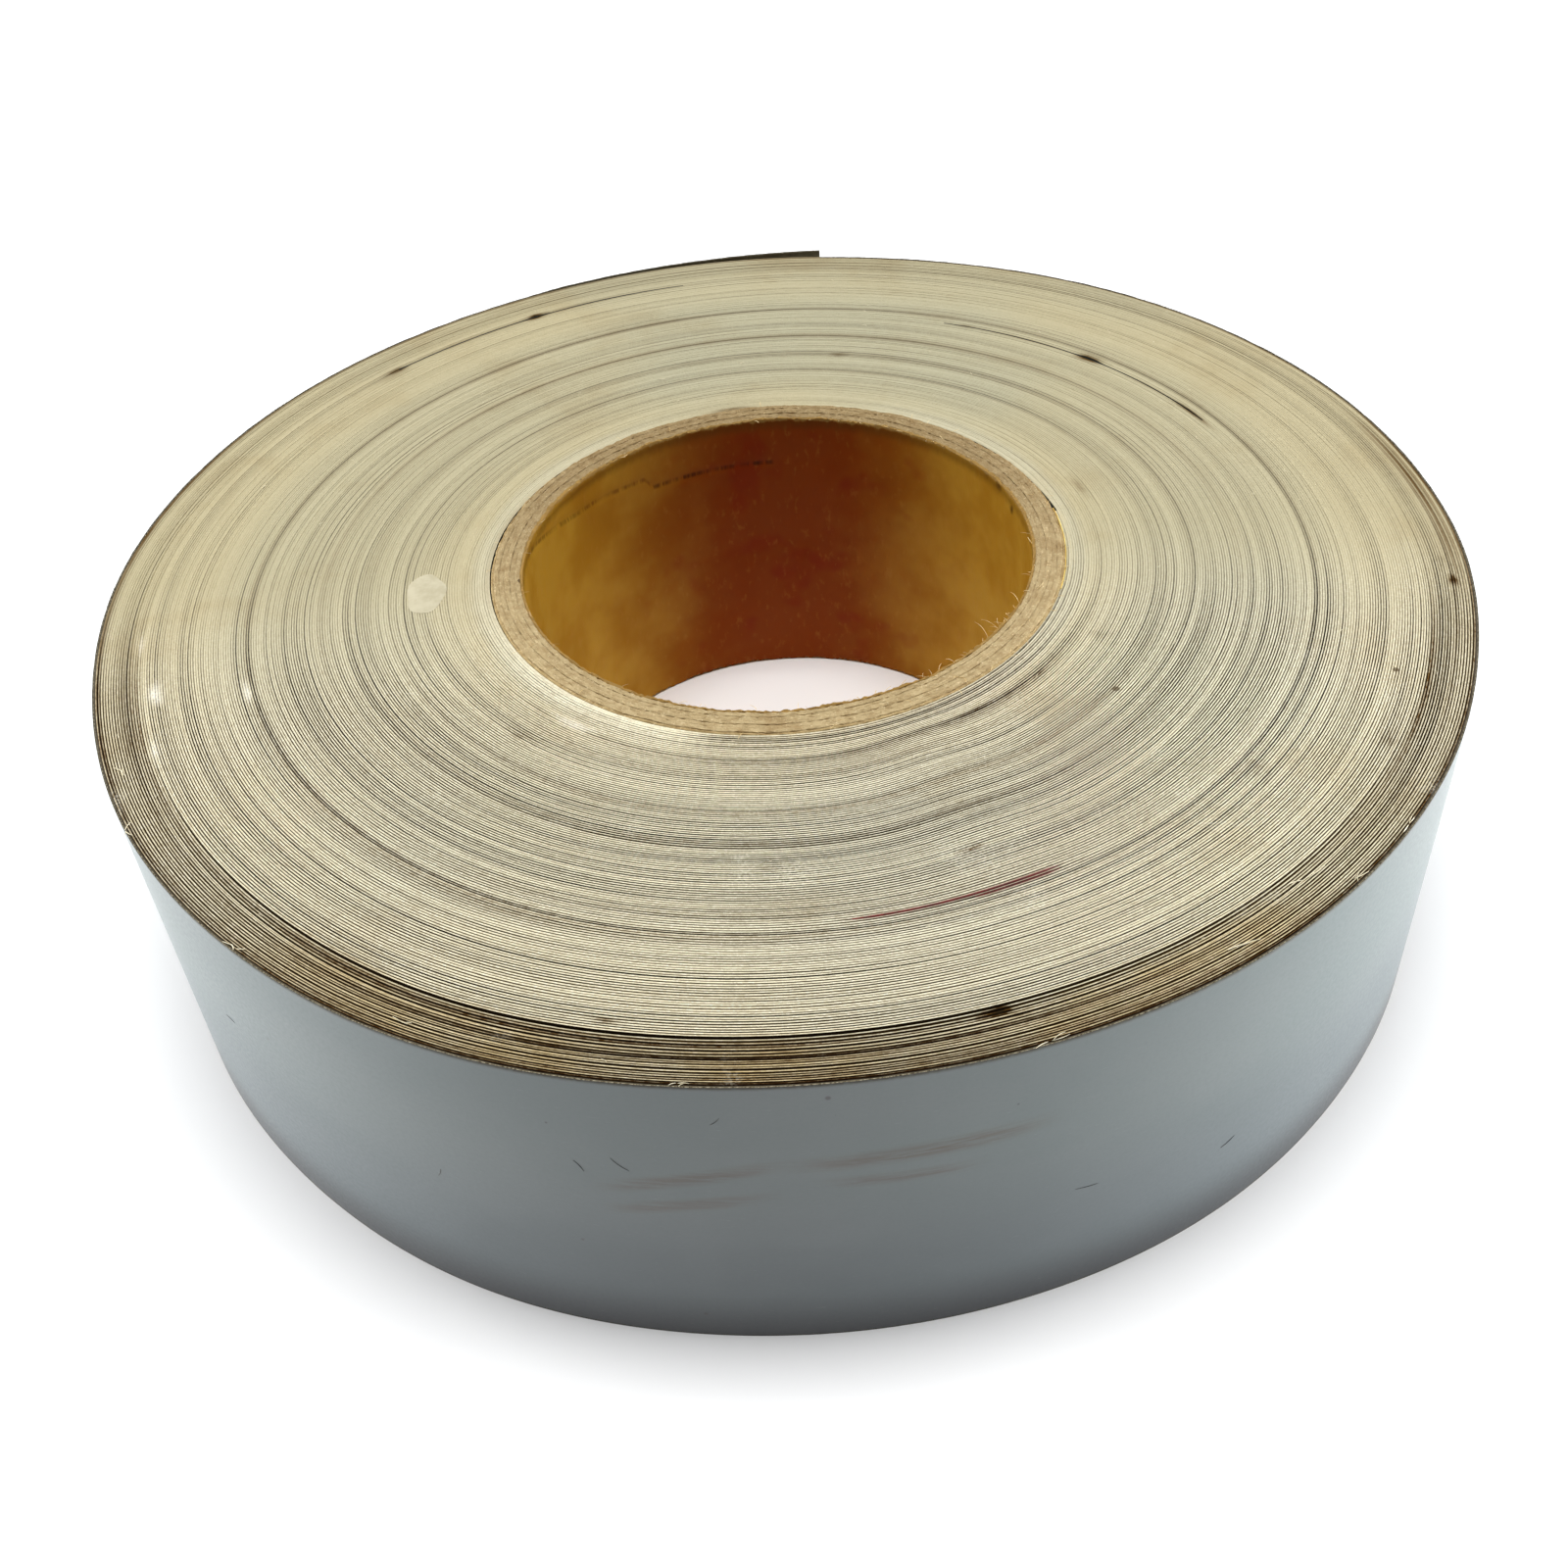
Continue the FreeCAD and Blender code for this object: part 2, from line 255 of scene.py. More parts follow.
def edge_height(turns):
    """How high the strip's upper edge stands at an arm position. A few outer turns have sunk."""
    radius = radius_at(turns) / MM
    rise = np.interp(
        radius,
        [93.4, 93.9, 95.2, 95.7, 96.2, 96.7, 97.2, 98.9, 100.1],
        [0.0, -0.5, -0.55, -0.15, -0.3, -0.3, -0.1, -0.12, 0.0],
    )
    rise = rise * (0.25 + 0.75 * bump(START_ANGLE - TURN * turns, 262, 100))
    loose = 0.025 + 0.05 * smooth(radius, 92, 94)
    rise = rise + loose * wander(turns, 0.37, 21) + 0.7 * loose * wander(turns, 0.09, 22)
    rise = rise + 0.04 * wander(turns, 2.3, 23)
    return WIDTH + MM * rise * (1 - smooth(turns, THIRD_END - 0.5, THIRD_END + 0.1))


def line_darkness(turns):
    """How dark the line under the turn at an arm position is, from 0 to 1."""
    faint = 0.4 + 0.26 * wander(turns, 0.3, 31) + 0.26 * wander(turns, 0.07, 32)
    group = 0.14 * wander(turns, 5.3, 34)
    strong = smooth(wander(turns, 0.55, 33), 0.62, 0.95)
    return np.clip(faint + group + 0.6 * strong, 0, 1)


# Dark windings: radius in millimetres, strength, turns they last, middle and half width in degrees
ALL_ROUND = 999
DARK_WINDINGS = [
    (44.1, 0.9, 1.2, 290, 45),
    (47.6, 0.8, 2.2, 300, 30),
    (48.4, 0.7, 1.2, 285, 50),
    (51.0, 0.6, 1.2, 265, 40),
    (54.0, 0.5, 1.1, 280, 40),
    (55.8, 0.8, 1.2, 30, 110),
    (57.4, 0.8, 1.1, 270, 65),
    (58.4, 0.7, 1.0, 265, 65),
    (59.2, 0.6, 1.0, 260, 50),
    (61.4, 1.0, 1.3, 40, 120),
    (62.1, 0.6, 1.0, 255, 50),
    (63.0, 0.9, 1.2, 265, 60),
    (63.9, 0.8, 1.1, 265, 60),
    (66.5, 0.9, 1.1, 265, 50),
    (68.0, 1.0, 1.3, 90, 130),
    (68.7, 0.9, 1.1, 255, 45),
    (71.0, 0.8, 1.1, 275, 35),
    (72.8, 0.6, 1.0, 265, 40),
    (75.9, 0.8, 1.2, 265, 45),
    (77.3, 0.9, 0.9, 286, 11),
    (78.4, 1.0, 1.3, 0, ALL_ROUND),
    (79.4, 0.7, 1.2, 245, 30),
    (82.2, 0.6, 1.0, 280, 50),
    (85.2, 1.0, 1.1, 255, 75),
    (88.1, 0.5, 1.0, 235, 40),
    (90.7, 1.0, 1.2, 270, 75),
    (92.7, 0.6, 1.0, 270, 40),
    (93.8, 1.0, 0.9, 262, 75),
    (94.5, 1.0, 0.9, 262, 75),
    (95.2, 1.0, 0.9, 262, 75),
    (96.6, 1.0, 1.2, 265, 60),
    (97.2, 0.9, 0.9, 250, 55),
    (97.9, 1.0, 1.0, 258, 60),
    (98.6, 0.9, 0.8, 262, 50),
    (99.2, 1.0, 1.1, 258, 65),
    (99.9, 1.0, 1.1, 262, 90),
]


def dark_winding(turns, angle):
    total = np.zeros(np.shape(turns))
    for radius, strength, lasting, middle, half_width in DARK_WINDINGS:
        away = np.abs(turns - turns_at(radius * MM))
        ring = strength * (1 - smooth(away, lasting / 2, lasting / 2 + 0.3))
        total = np.maximum(total, ring * bump(angle, middle, half_width))
    return total


# Soiled rings: radius and half width in millimetres, strength, middle and half width in degrees
SOILED_RINGS = [
    (43.4, 0.5, 0.3, 165, 30),
    (48.1, 0.8, 0.3, 280, 45),
    (51.0, 0.8, 0.2, 265, 40),
    (55.5, 0.6, 0.25, 90, 80),
    (57.8, 0.6, 0.3, 268, 62),
    (61.3, 0.7, 0.35, 80, 75),
    (63.5, 0.6, 0.3, 262, 55),
    (68.0, 0.8, 0.45, 95, 80),
    (75.2, 1.6, 0.12, 262, 40),
    (78.3, 0.7, 0.4, 115, 60),
    (78.5, 0.5, 0.3, 20, 40),
    (78.6, 0.5, 0.35, 240, 60),
    (79.5, 0.9, 0.2, 245, 28),
    (91.9, 0.7, 0.35, 119, 17),
    (94.6, 0.75, 0.2, 262, 72),
    (94.6, 0.7, 0.3, 263, 30),
    (94.9, 0.5, 0.8, 334, 10),
    (95.7, 1.0, 0.5, 197, 12),
    (96.5, 0.6, 0.6, 266, 24),
    (97.6, 1.3, 0.2, 262, 70),
    (99.2, 1.0, 0.25, 268, 40),
    (99.7, 0.8, 0.2, 255, 85),
    (98.6, 1.2, 0.45, 5, 13),
    (98.4, 1.3, 0.3, 352, 16),
    (100.2, 0.4, 0.55, 0, ALL_ROUND),
    (97.5, 2.6, 0.14, 75, 60),
]

# Dirty spots: angle in degrees, radius, half length and half width in millimetres, strength to 2
SPOTS = [
    (42.8, 76.2, 1.5, 0.8, 2.0),
    (42.8, 76.9, 2.4, 1.7, 0.6),
    (24.8, 76.2, 4.6, 0.35, 1.15),
    (33.0, 76.2, 5.0, 0.25, 0.8),
    (52.5, 76.2, 9.0, 0.25, 0.9),
    (61.0, 76.3, 1.6, 0.4, 0.9),
    (116.9, 92.2, 1.4, 0.8, 1.9),
    (135.5, 92.0, 1.5, 0.7, 1.3),
    (136.0, 91.6, 3.2, 1.5, 0.4),
    (282.7, 94.3, 1.2, 0.5, 2.8),
    (283.6, 95.3, 0.9, 0.4, 1.4),
    (256.0, 91.8, 0.3, 0.7, 1.3),
    (256.0, 90.6, 0.22, 0.8, 0.8),
    (288.0, 70.5, 1.0, 0.35, 1.4),
    (311.0, 71.9, 0.35, 0.3, 1.8),
    (252.5, 52.6, 0.25, 0.5, 1.8),
    (301.0, 47.6, 3.6, 0.3, 0.9),
    (309.0, 47.8, 2.6, 0.25, 0.8),
    (316.0, 48.1, 1.4, 0.4, 0.8),
    (98.0, 43.4, 3.2, 0.6, 0.9),
    (77.5, 61.2, 1.2, 0.7, 0.9),
    (349.0, 97.9, 0.5, 0.7, 1.5),
    (351.6, 97.0, 0.9, 1.2, 0.55),
    (228.0, 53.0, 1.6, 1.2, 0.4),
    (268.0, 67.4, 1.4, 0.9, 0.35),
    (316.0, 80.5, 1.5, 2.0, 0.3),
    (326.0, 92.5, 1.6, 1.2, 0.4),
    (330.0, 51.0, 1.0, 1.6, 0.35),
    (14.0, 49.0, 2.5, 0.6, 0.4),
]

# Chalky smears, given like the spots
SMEARS = [
    (195.9, 92.0, 1.6, 0.9, 0.75),
    (199.2, 79.1, 1.9, 0.7, 0.6),
    (188.0, 94.4, 2.2, 0.7, 0.35),
    (203.8, 93.6, 1.8, 0.7, 0.35),
    (233.0, 47.5, 3.0, 0.8, 0.4),
]


def spot(radius, angle, middle, centre, half_length, half_width):
    """1 in the middle of a spot on the end face, falling off to its sides."""
    across = np.exp(-(((radius / MM - centre) / half_width) ** 2))
    return across * bump(angle, middle, math.degrees(half_length / centre))


def soil(radius, angle, arm):
    """How dirty a place is: 1 is brown, 2 nearly black, and below zero it is chalky."""
    total = np.zeros(np.shape(radius))
    for centre, half_width, strength, middle, spread in SOILED_RINGS:
        ring = np.exp(-(((radius / MM - centre) / half_width) ** 2))
        total = total + strength * ring * bump(angle, middle, spread)
    uneven = 1 + (0.3 + 0.6 * smooth(radius / MM, 92, 94)) * wander(arm, 0.12, 61)
    total = np.clip(total * uneven, 0, 1.1)
    for *place, strength in SPOTS:
        total = np.maximum(total, strength * spot(radius, angle, *place))
    for *place, strength in SMEARS:
        total = total - strength * spot(radius, angle, *place)
    return total


def red_tint(turns, angle):
    """Dye from the red marker on the turns beside it."""
    total = np.zeros(np.shape(turns))
    for strip in (LONG_LEAF, SHORT_LEAF):
        outside, reach = strip.reach(turns, angle, 0, 0.004)
        total = np.maximum(total, reach * np.exp(-((outside / 0.65) ** 2)))
    return total


def arm_length(turns):
    """The length of strip, in millimetres, from its start on the core to an arm position."""
    grid = np.linspace(0, THIRD_END + 2, 4001)
    radii = radius_at(grid)
    lengths = np.concatenate([[0], np.cumsum((radii[1:] + radii[:-1]) / 2 * np.diff(grid))]) * TURN
    return np.interp(turns, grid, lengths) / MM


# ---------------------------------------------------------------- meshes

def new_mesh(name, points, faces, sharp_angle=30):
    mesh = bpy.data.meshes.new(name)
    mesh.from_pydata(np.asarray(points, np.float32), [], faces)
    mesh.validate()
    mesh.shade_smooth()
    mesh.set_sharp_from_angle(angle=math.radians(sharp_angle))
    piece = bpy.data.objects.new(name, mesh)
    bpy.context.scene.collection.objects.link(piece)
    return piece


def put_values(piece, name, values, domain="POINT"):
    """Stores a number, or a vector of three, for each point or face corner of a piece."""
    values = np.asarray(values, np.float32)
    kind, field = ("FLOAT_VECTOR", "vector") if values.ndim == 2 else ("FLOAT", "value")
    layer = piece.data.attributes.new(name, kind, domain)
    layer.data.foreach_set(field, values.ravel())


def finish_piece(piece, material, node, body="roll"):
    piece.data.materials.append(material)
    if node:
        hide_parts(node)
    if body:
        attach(piece, body)
    return piece


def skin(ids, closed=False):
    """Faces between rings of point numbers, with a cap at each end unless the rings close up."""
    before, after = (ids, np.roll(ids, -1, 0)) if closed else (ids[:-1], ids[1:])
    quads = np.stack([before, np.roll(before, -1, 1), np.roll(after, -1, 1), after], -1)
    caps = [] if closed else [ids[0][::-1].tolist(), ids[-1].tolist()]
    return quads.reshape(-1, 4).tolist() + caps


def loft(name, rings, closed=False, place=None, sharp_angle=30):
    """Joins rings of points, an array of stations by points by XYZ, into one closed skin."""
    rings = np.asarray(rings, float)
    ids = np.arange(rings.size // 3).reshape(rings.shape[:2])
    piece = new_mesh(name, rings.reshape(-1, 3), skin(ids, closed), sharp_angle)
    if place is not None:
        put_values(piece, "place", np.asarray(place).reshape(-1, 3))
    return piece


def strip_loft(name, inner, outer, low, high, along, rows, chamfer=0.02 * MM, wear=0.0):
    """A strip of tape standing on edge. inner and outer are its faces' XY points, station by station.

    low and high are the heights of its edges, along the millimetres of strip up to each station, and
    wear what its upper edge gains or loses.
    """
    low, high = (np.broadcast_to(height, len(inner))[:, None] for height in (low, high))
    along = np.broadcast_to(np.asarray(along)[:, None], (len(inner), rows + 1))
    middle = (inner + outer) / 2
    shrink = np.clip(chamfer / np.linalg.norm(outer - inner, axis=1), 0, 0.45)[:, None]
    rings, place = [], []
    for across, face in enumerate((inner, outer)):
        column = np.zeros((*along.shape, 3))
        column[..., :2] = face[:, None]
        column[:, [0, -1], :2] += ((middle - face) * 2 * shrink)[:, None]
        column[..., 2] = low + (high - low) * np.linspace(0, 1, rows + 1)
        column[:, -1, 2] += wear
        rings.append(column[:, ::-1] if across else column)
        place.append(np.stack([along, np.full(along.shape, across), rings[-1][..., 2] / MM], -1))
    return loft(name, np.concatenate(rings, 1), False, np.concatenate(place, 1))


def polar(radius, angle):
    return np.stack([radius * np.cos(angle), radius * np.sin(angle)], axis=-1)


def wound_length(number, name, first, last, stations):
    """A spliced length of tape as one closed mesh, grooved between its turns on both faces."""
    rows = ROWS[number]
    count = round((last - first) * stations)
    s = first + np.arange(count + 1) / stations
    ids = np.arange((count + 1) * rows).reshape(count + 1, rows)
    rim = np.concatenate([ids[stations:, 0], (count + 1) * rows + np.arange(stations)])
    ids = np.concatenate([ids, rim[:, None]], axis=1)
    total = (count + 1) * rows + stations

    # turns, arm position, edge height and line darkness of every point
    turns, arm, top, dark = (np.zeros(total) for _ in range(4))
    height = edge_height(s)
    inside = edge_height(np.maximum(s - 1, first))
    outside = edge_height(np.minimum(s + 1, last))
    groove = (0.045 + 0.05 * line_darkness(s)) * MM
    for k in range(rows + 1):
        share = k / rows
        at = ids[:, k] if k < rows else rim
        turns[at], arm[at] = s + share, s
        if 0 < k < rows:
            near = s if share < 0.5 else s + 1
            top[at] = height + 0.006 * MM * wander(s, 0.004, 40 + k)
            dark[at] = line_darkness(near)
    last_rim = rim[-stations:]
    top[last_rim] = (np.minimum(height, outside) - groove)[-stations:]
    dark[last_rim] = line_darkness(s[-stations:] + 1)
    top[ids[:, 0]] = np.minimum(height, inside) - groove
    dark[ids[:, 0]] = line_darkness(s)
    bottom = np.maximum(top - WIDTH, 0)
    for at, own, other, cut in (
        (ids[:, 0], height, inside, groove),
        (last_rim, height[-stations:], outside[-stations:], groove[-stations:]),
    ):
        bottom[at] = np.maximum(np.maximum(own, other) - WIDTH, 0) + cut

    angle = START_ANGLE - TURN * arm
    radius = roll_radius(turns, angle, 1 / rows)
    flat = polar(radius, angle)
    points = np.concatenate([np.column_stack([flat, top]), np.column_stack([flat, bottom])])

    # the cells that are kept: the strips' slots are left open
    keep = np.ones((count, rows), bool)
    for strip in STRIPS:
        low, high = strip.span
        keep[(s[:-1] > low - 0.5 / stations) & (s[:-1] < high - 0.5 / stations), 0] = False
    cell_s, cell_k = np.nonzero(keep)
    corner_s = np.stack([cell_s, cell_s, cell_s + 1, cell_s + 1], axis=-1)
    corner_k = np.stack([cell_k, cell_k + 1, cell_k + 1, cell_k], axis=-1)
    cells = ids[corner_s, corner_k]
    edges = np.concatenate([cells[:, [a, (a + 1) % 4]] for a in range(4)])
    known = set(map(tuple, edges.tolist()))
    walls = edges[[(b, a) not in known for a, b in edges.tolist()]]
    wall_quads = np.stack(
        [walls[:, 1], walls[:, 0], walls[:, 0] + total, walls[:, 1] + total], axis=-1
    )
    faces = np.concatenate([cells, cells[:, ::-1] + total, wall_quads])
    piece = new_mesh(name, points, faces.tolist(), 25)

    across = corner_k / rows
    along = arm_length(s)[corner_s]
    upper = np.stack([along, across, np.full(along.shape, WIDTH / MM)], axis=-1)
    lower = upper[:, ::-1] * [1, 1, 0]
    wall_along = arm_length(arm[np.stack([walls[:, 1], walls[:, 0], walls[:, 0], walls[:, 1]], -1)])
    wall_up = np.broadcast_to([WIDTH / MM, WIDTH / MM, 0, 0], wall_along.shape)
    side = np.stack([wall_along, np.ones(wall_along.shape), wall_up], axis=-1)
    put_values(piece, "place", np.concatenate([upper, lower, side]).reshape(-1, 3), "CORNER")
    spoiled = np.maximum(dark, dark_winding(turns, angle))
    put_values(piece, "line", np.tile(spoiled, 2))
    put_values(piece, "soil", np.tile(soil(radius_at(turns), angle, arm), 2))
    put_values(piece, "tint", np.tile(red_tint(turns, angle), 2))
    material_ids = np.concatenate([np.zeros(2 * len(cells)), np.ones(len(walls))]).astype(np.int32)
    piece.data.materials.append(CUT_EDGES)
    piece.data.materials.append(FILM_FACE)
    piece.data.polygons.foreach_set("material_index", material_ids)
    return piece


# ---------------------------------------------------------------- materials

def colour(red, green, blue):
    """A colour given as it looks on a screen, from 0 to 255, as light."""
    channels = [c / 255 for c in (red, green, blue)]
    return [c / 12.92 if c < 0.04045 else ((c + 0.055) / 1.055) ** 2.4 for c in channels] + [1]


class Value:
    """A node's output that adds, multiplies and divides like a number."""

    def __init__(self, shading, socket):
        self.shading, self.socket = shading, socket

    def __add__(self, other):
        return self.shading.math("ADD", self, other)

    def __mul__(self, other):
        return self.shading.math("MULTIPLY", self, other)

    def __sub__(self, other):
        return self.shading.math("SUBTRACT", self, other)

    def __rsub__(self, other):
        return self.shading.math("SUBTRACT", other, self)

    def __truediv__(self, other):
        return self.shading.math("DIVIDE", self, other)

    def __abs__(self):
        return self.shading.math("ABSOLUTE", self)

    __radd__, __rmul__ = __add__, __mul__


class Shading:
    """One material's nodes, built by short calls. base is the colour that has been painted so far."""

    def __init__(self, name, **constants):
        self.material = bpy.data.materials.new(name)
        self.material.use_nodes = True
        self.tree = self.material.node_tree
        self.shader = self.tree.nodes["Principled BSDF"]
        self.base = None
        for socket, value in constants.items():
            self.shader.inputs[socket.replace("_", " ")].default_value = value

    def new(self, kind, inputs=(), output=0, **settings):
        """A new node with those inputs and settings, given as one of its outputs."""
        node = self.tree.nodes.new("ShaderNode" + kind)
        for key, value in settings.items():
            setattr(node, key, value)
        for key, value in dict(inputs).items():
            self.put(node.inputs[key], value)
        return Value(self, node.outputs[output])

    def put(self, socket, value):
        if isinstance(value, Value):
            self.tree.links.new(value.socket, socket)
        else:
            socket.default_value = value

    def stored(self, name, output="Fac"):
        return self.new("Attribute", output=output, attribute_name=name, attribute_type="GEOMETRY")

    def place(self):
        """Millimetres along the strip, the share of its thickness, and millimetres up."""
        return self.split(self.stored("place", "Vector"))

    def where(self):
        return self.new("TexCoord", output="Object")

    def split(self, vector):
        first = self.new("SeparateXYZ", {0: vector})
        return [Value(self, output) for output in first.socket.node.outputs]

    def join(self, x, y, z):
        return self.new("CombineXYZ", {0: x, 1: y, 2: z})

    def math(self, operation, a, b=0.0):
        return self.new("Math", {0: a, 1: b}, operation=operation)

    def most(self, a, b):
        return self.math("MAXIMUM", a, b)

    def least(self, a, b):
        return self.math("MINIMUM", a, b)

    def radius(self, x, y):
        return self.math("SQRT", x * x + y * y)

    def distance(self, vector, point):
        return self.new("VectorMath", {0: vector, 1: point}, "Value", operation="DISTANCE")

    def ramp(self, value, low, high, start=0.0, end=1.0):
        """start up to low, end from high, smooth between. low may be above high."""
        inputs = {0: value, 1: low, 2: high, 3: start, 4: end}
        return self.new("MapRange", inputs, interpolation_type="SMOOTHSTEP")

    def scaled(self, vector, scale):
        """A vector times a number, or times one number for each axis."""
        if scale == 1:
            return vector
        scale = (scale,) * 3 if isinstance(scale, (int, float)) else scale
        return self.new("VectorMath", {0: vector, 1: scale}, operation="MULTIPLY")

    def noise(self, vector, scale, detail, rough):
        vector = self.scaled(vector, scale)
        inputs = {"Vector": vector, "Scale": 1.0, "Detail": detail, "Roughness": rough}
        return self.new("TexNoise", inputs, "Fac")

    def specks(self, vector, scale, size, share):
        """Sparse round dots: 1 inside a dot. size is in cells, and share of the cells have one."""
        inputs = {"Vector": self.scaled(vector, scale), "Scale": 1.0, "Randomness": 1.0}
        distance = self.new("TexVoronoi", inputs, "Distance")
        chance, big, _ = self.split(Value(self, distance.socket.node.outputs["Color"]))
        return self.math("LESS_THAN", distance, big * size) * self.math("LESS_THAN", chance, share)

    def mix_value(self, share, a, b):
        return self.new("MapRange", {0: share, 1: 0.0, 2: 1.0, 3: a, 4: b})

    def mix(self, share, a, b, kind="MIX"):
        return self.new("Mix", {0: share, 6: a, 7: b}, 2, data_type="RGBA", blend_type=kind)

    def paint(self, share, *screen_colour):
        """Covers a share of the base with a colour."""
        self.base = self.mix(share, self.base, colour(*screen_colour))

    def dye(self, share, *screen_colour):
        """Multiplies a share of the base by a colour, so that what is painted shows through."""
        dyed = self.mix(1.0, self.base, colour(*screen_colour), "MULTIPLY")
        self.base = self.mix(share, self.base, dyed)

    def finish(self, roughness=None, height=None, depth=None):
        """Fills in the shader. height is a bump pattern, and depth how deep it is."""
        self.put(self.shader.inputs["Base Color"], self.base)
        if roughness is not None:
            self.put(self.shader.inputs["Roughness"], roughness)
        if height is not None:
            inputs = {"Height": height, "Distance": depth, "Strength": 1.0}
            self.put(self.shader.inputs["Normal"], self.new("Bump", inputs))
        return self.material


def cut_edge_material():
    """The strip's cut edges on the roll's end faces: cream cloth with dark adhesive between turns."""
    m = Shading("cut_edges", Specular_IOR_Level=0.06)
    along, across, _ = m.place()
    line, soiled = m.stored("line"), m.stored("soil")
    where = m.where()
    x, y, _ = m.split(where)
    radius = m.radius(x, y)
    yarn = m.noise(m.join(along * (1 / 1.3), across * 1.3, 0.0), 1, 3.0, 0.65)
    fuzz = m.noise(where, 2600, 2.0, 0.6)
    patches = m.noise(where, 45, 3.0, 0.6)
    broad = m.noise(where, 14, 2.0, 0.5)
    smears = m.noise(where, 95, 2.0, 0.65)

    # the front has painted highlights on its cloth and deep dark gaps, and the back is smeared over and
    # dyed a little darker as painted shade
    front = m.ramp(y, 0.005, -0.045)
    middle = m.ramp(radius, 0.088, 0.078) * m.ramp(radius, 0.044, 0.058)
    greyness = middle * 0.5 + m.ramp(broad, 0.42, 0.62, -0.1, 0.4)
    m.base = m.mix(greyness, colour(226, 216, 181), colour(216, 213, 187))
    near_core = m.ramp(radius, 0.047, 0.0445, 0.0, 0.5) * m.ramp(abs(x), 0.01, 0.03)
    m.paint(near_core, 242, 238, 214)
    # painted shade: the back of the end face is dyed a little darker
    m.dye(front * -1.0 + 1.0, 214, 212, 206)
    worn = m.ramp(yarn, 0.3, 0.62, 0.5, 0.0) * m.ramp(front, 0.0, 1.0, 0.3, 1.0)
    m.paint(worn, 146, 130, 94)
    # painted highlight: pale cream spots of light on the front of the end face
    front_highlight = (m.ramp(fuzz, 0.47, 0.68, 0.0, 0.5) + 0.18) * front
    m.paint(front_highlight, 252, 246, 224)

    # the dark gap between one turn's cut edge and the next
    outer_band = m.ramp(radius, 0.0925, 0.0965, 0.0, 0.6)
    width = line * 0.16 + 0.19 + m.least(soiled, 1.0) * 0.1 + outer_band * 0.07
    gap = m.ramp(m.least(across, 1.0 - across) / width, 1.3, 0.35)
    strength = line * 0.4 + 1.0 + soiled * 0.3 + outer_band * 0.4
    strength = strength * m.ramp(yarn, 0.25, 0.7, 1.1, 0.9)
    strength = m.mix_value(front, strength * (line * 0.38 + 0.01), strength)
    dark = m.mix(m.most(line, outer_band), colour(84, 66, 36), colour(30, 20, 6))
    m.base = m.mix(m.least(gap * strength, 1.0), m.base, dark)

    # dirt, dye, clouds and chalk over both
    dirt = soiled * m.ramp(patches, 0.25, 0.75, 0.75, 1.2)
    ragged = m.ramp(yarn, 0.36, 0.6, 1.35, 0.7) * m.ramp(fuzz, 0.4, 0.62, 1.1, 0.85)
    m.dye(m.least(dirt * m.mix_value(front, 1.0, ragged) * 0.9, 1.0), 134, 102, 50)
    m.paint(m.least(m.most(dirt - 0.95, 0.0), 0.9), 34, 26, 12)
    nearest = m.ramp(abs(x), 0.08, 0.035, 0.15, 1.0)
    stain = outer_band * nearest * (front * m.ramp(patches, 0.35, 0.65, 0.4, 1.3))
    m.dye(stain, 232, 206, 152)
    m.dye(m.stored("tint") * 0.9, 128, 22, 20)
    m.dye(m.ramp(patches, 0.52, 0.75, 0.0, 0.22), 205, 178, 132)
    chalk = m.ramp(smears, 0.6, 0.76, 0.0, 0.22) * front * m.ramp(fuzz, 0.4, 0.6)
    m.paint(chalk, 238, 234, 216)
    smear = m.most(soiled * -1.0 * m.ramp(fuzz, 0.35, 0.6, 0.6, 1.2), 0.0)
    m.paint(m.least(smear, 1.0), 255, 250, 238)
    m.paint(m.specks(where, 160, 0.11, 0.05) * 0.75, 70, 52, 26)
    return m.finish(m.ramp(yarn, 0.3, 0.7, 0.95, 0.75), fuzz, 0.12 * MM)


# Brown rub marks on the film: angle in degrees, height, half length and half width in millimetres,
# how steeply they climb, and strength
RUB_MARKS = [
    (261.6, 33.2, 13, 1.8, 0.26, 0.9),
    (261.5, 28.2, 12, 1.7, 0.19, 0.8),
    (276.8, 36.1, 18, 2.0, 0.03, 1.0),
    (275.5, 31.9, 11, 1.4, -0.03, 0.75),
]

# Dark dots on the film: angle in degrees, height and radius in millimetres
FILM_DOTS = [(270.9, 47.6, 0.45), (261.4, 4.9, 0.4), (252.8, 41.3, 0.22), (283.0, 41.0, 0.2)]


def place_on_film(degrees):
    """How far along the strip, in millimetres, an angle of the outermost turn is."""
    return float(arm_length(outermost_turns(math.radians(degrees))))


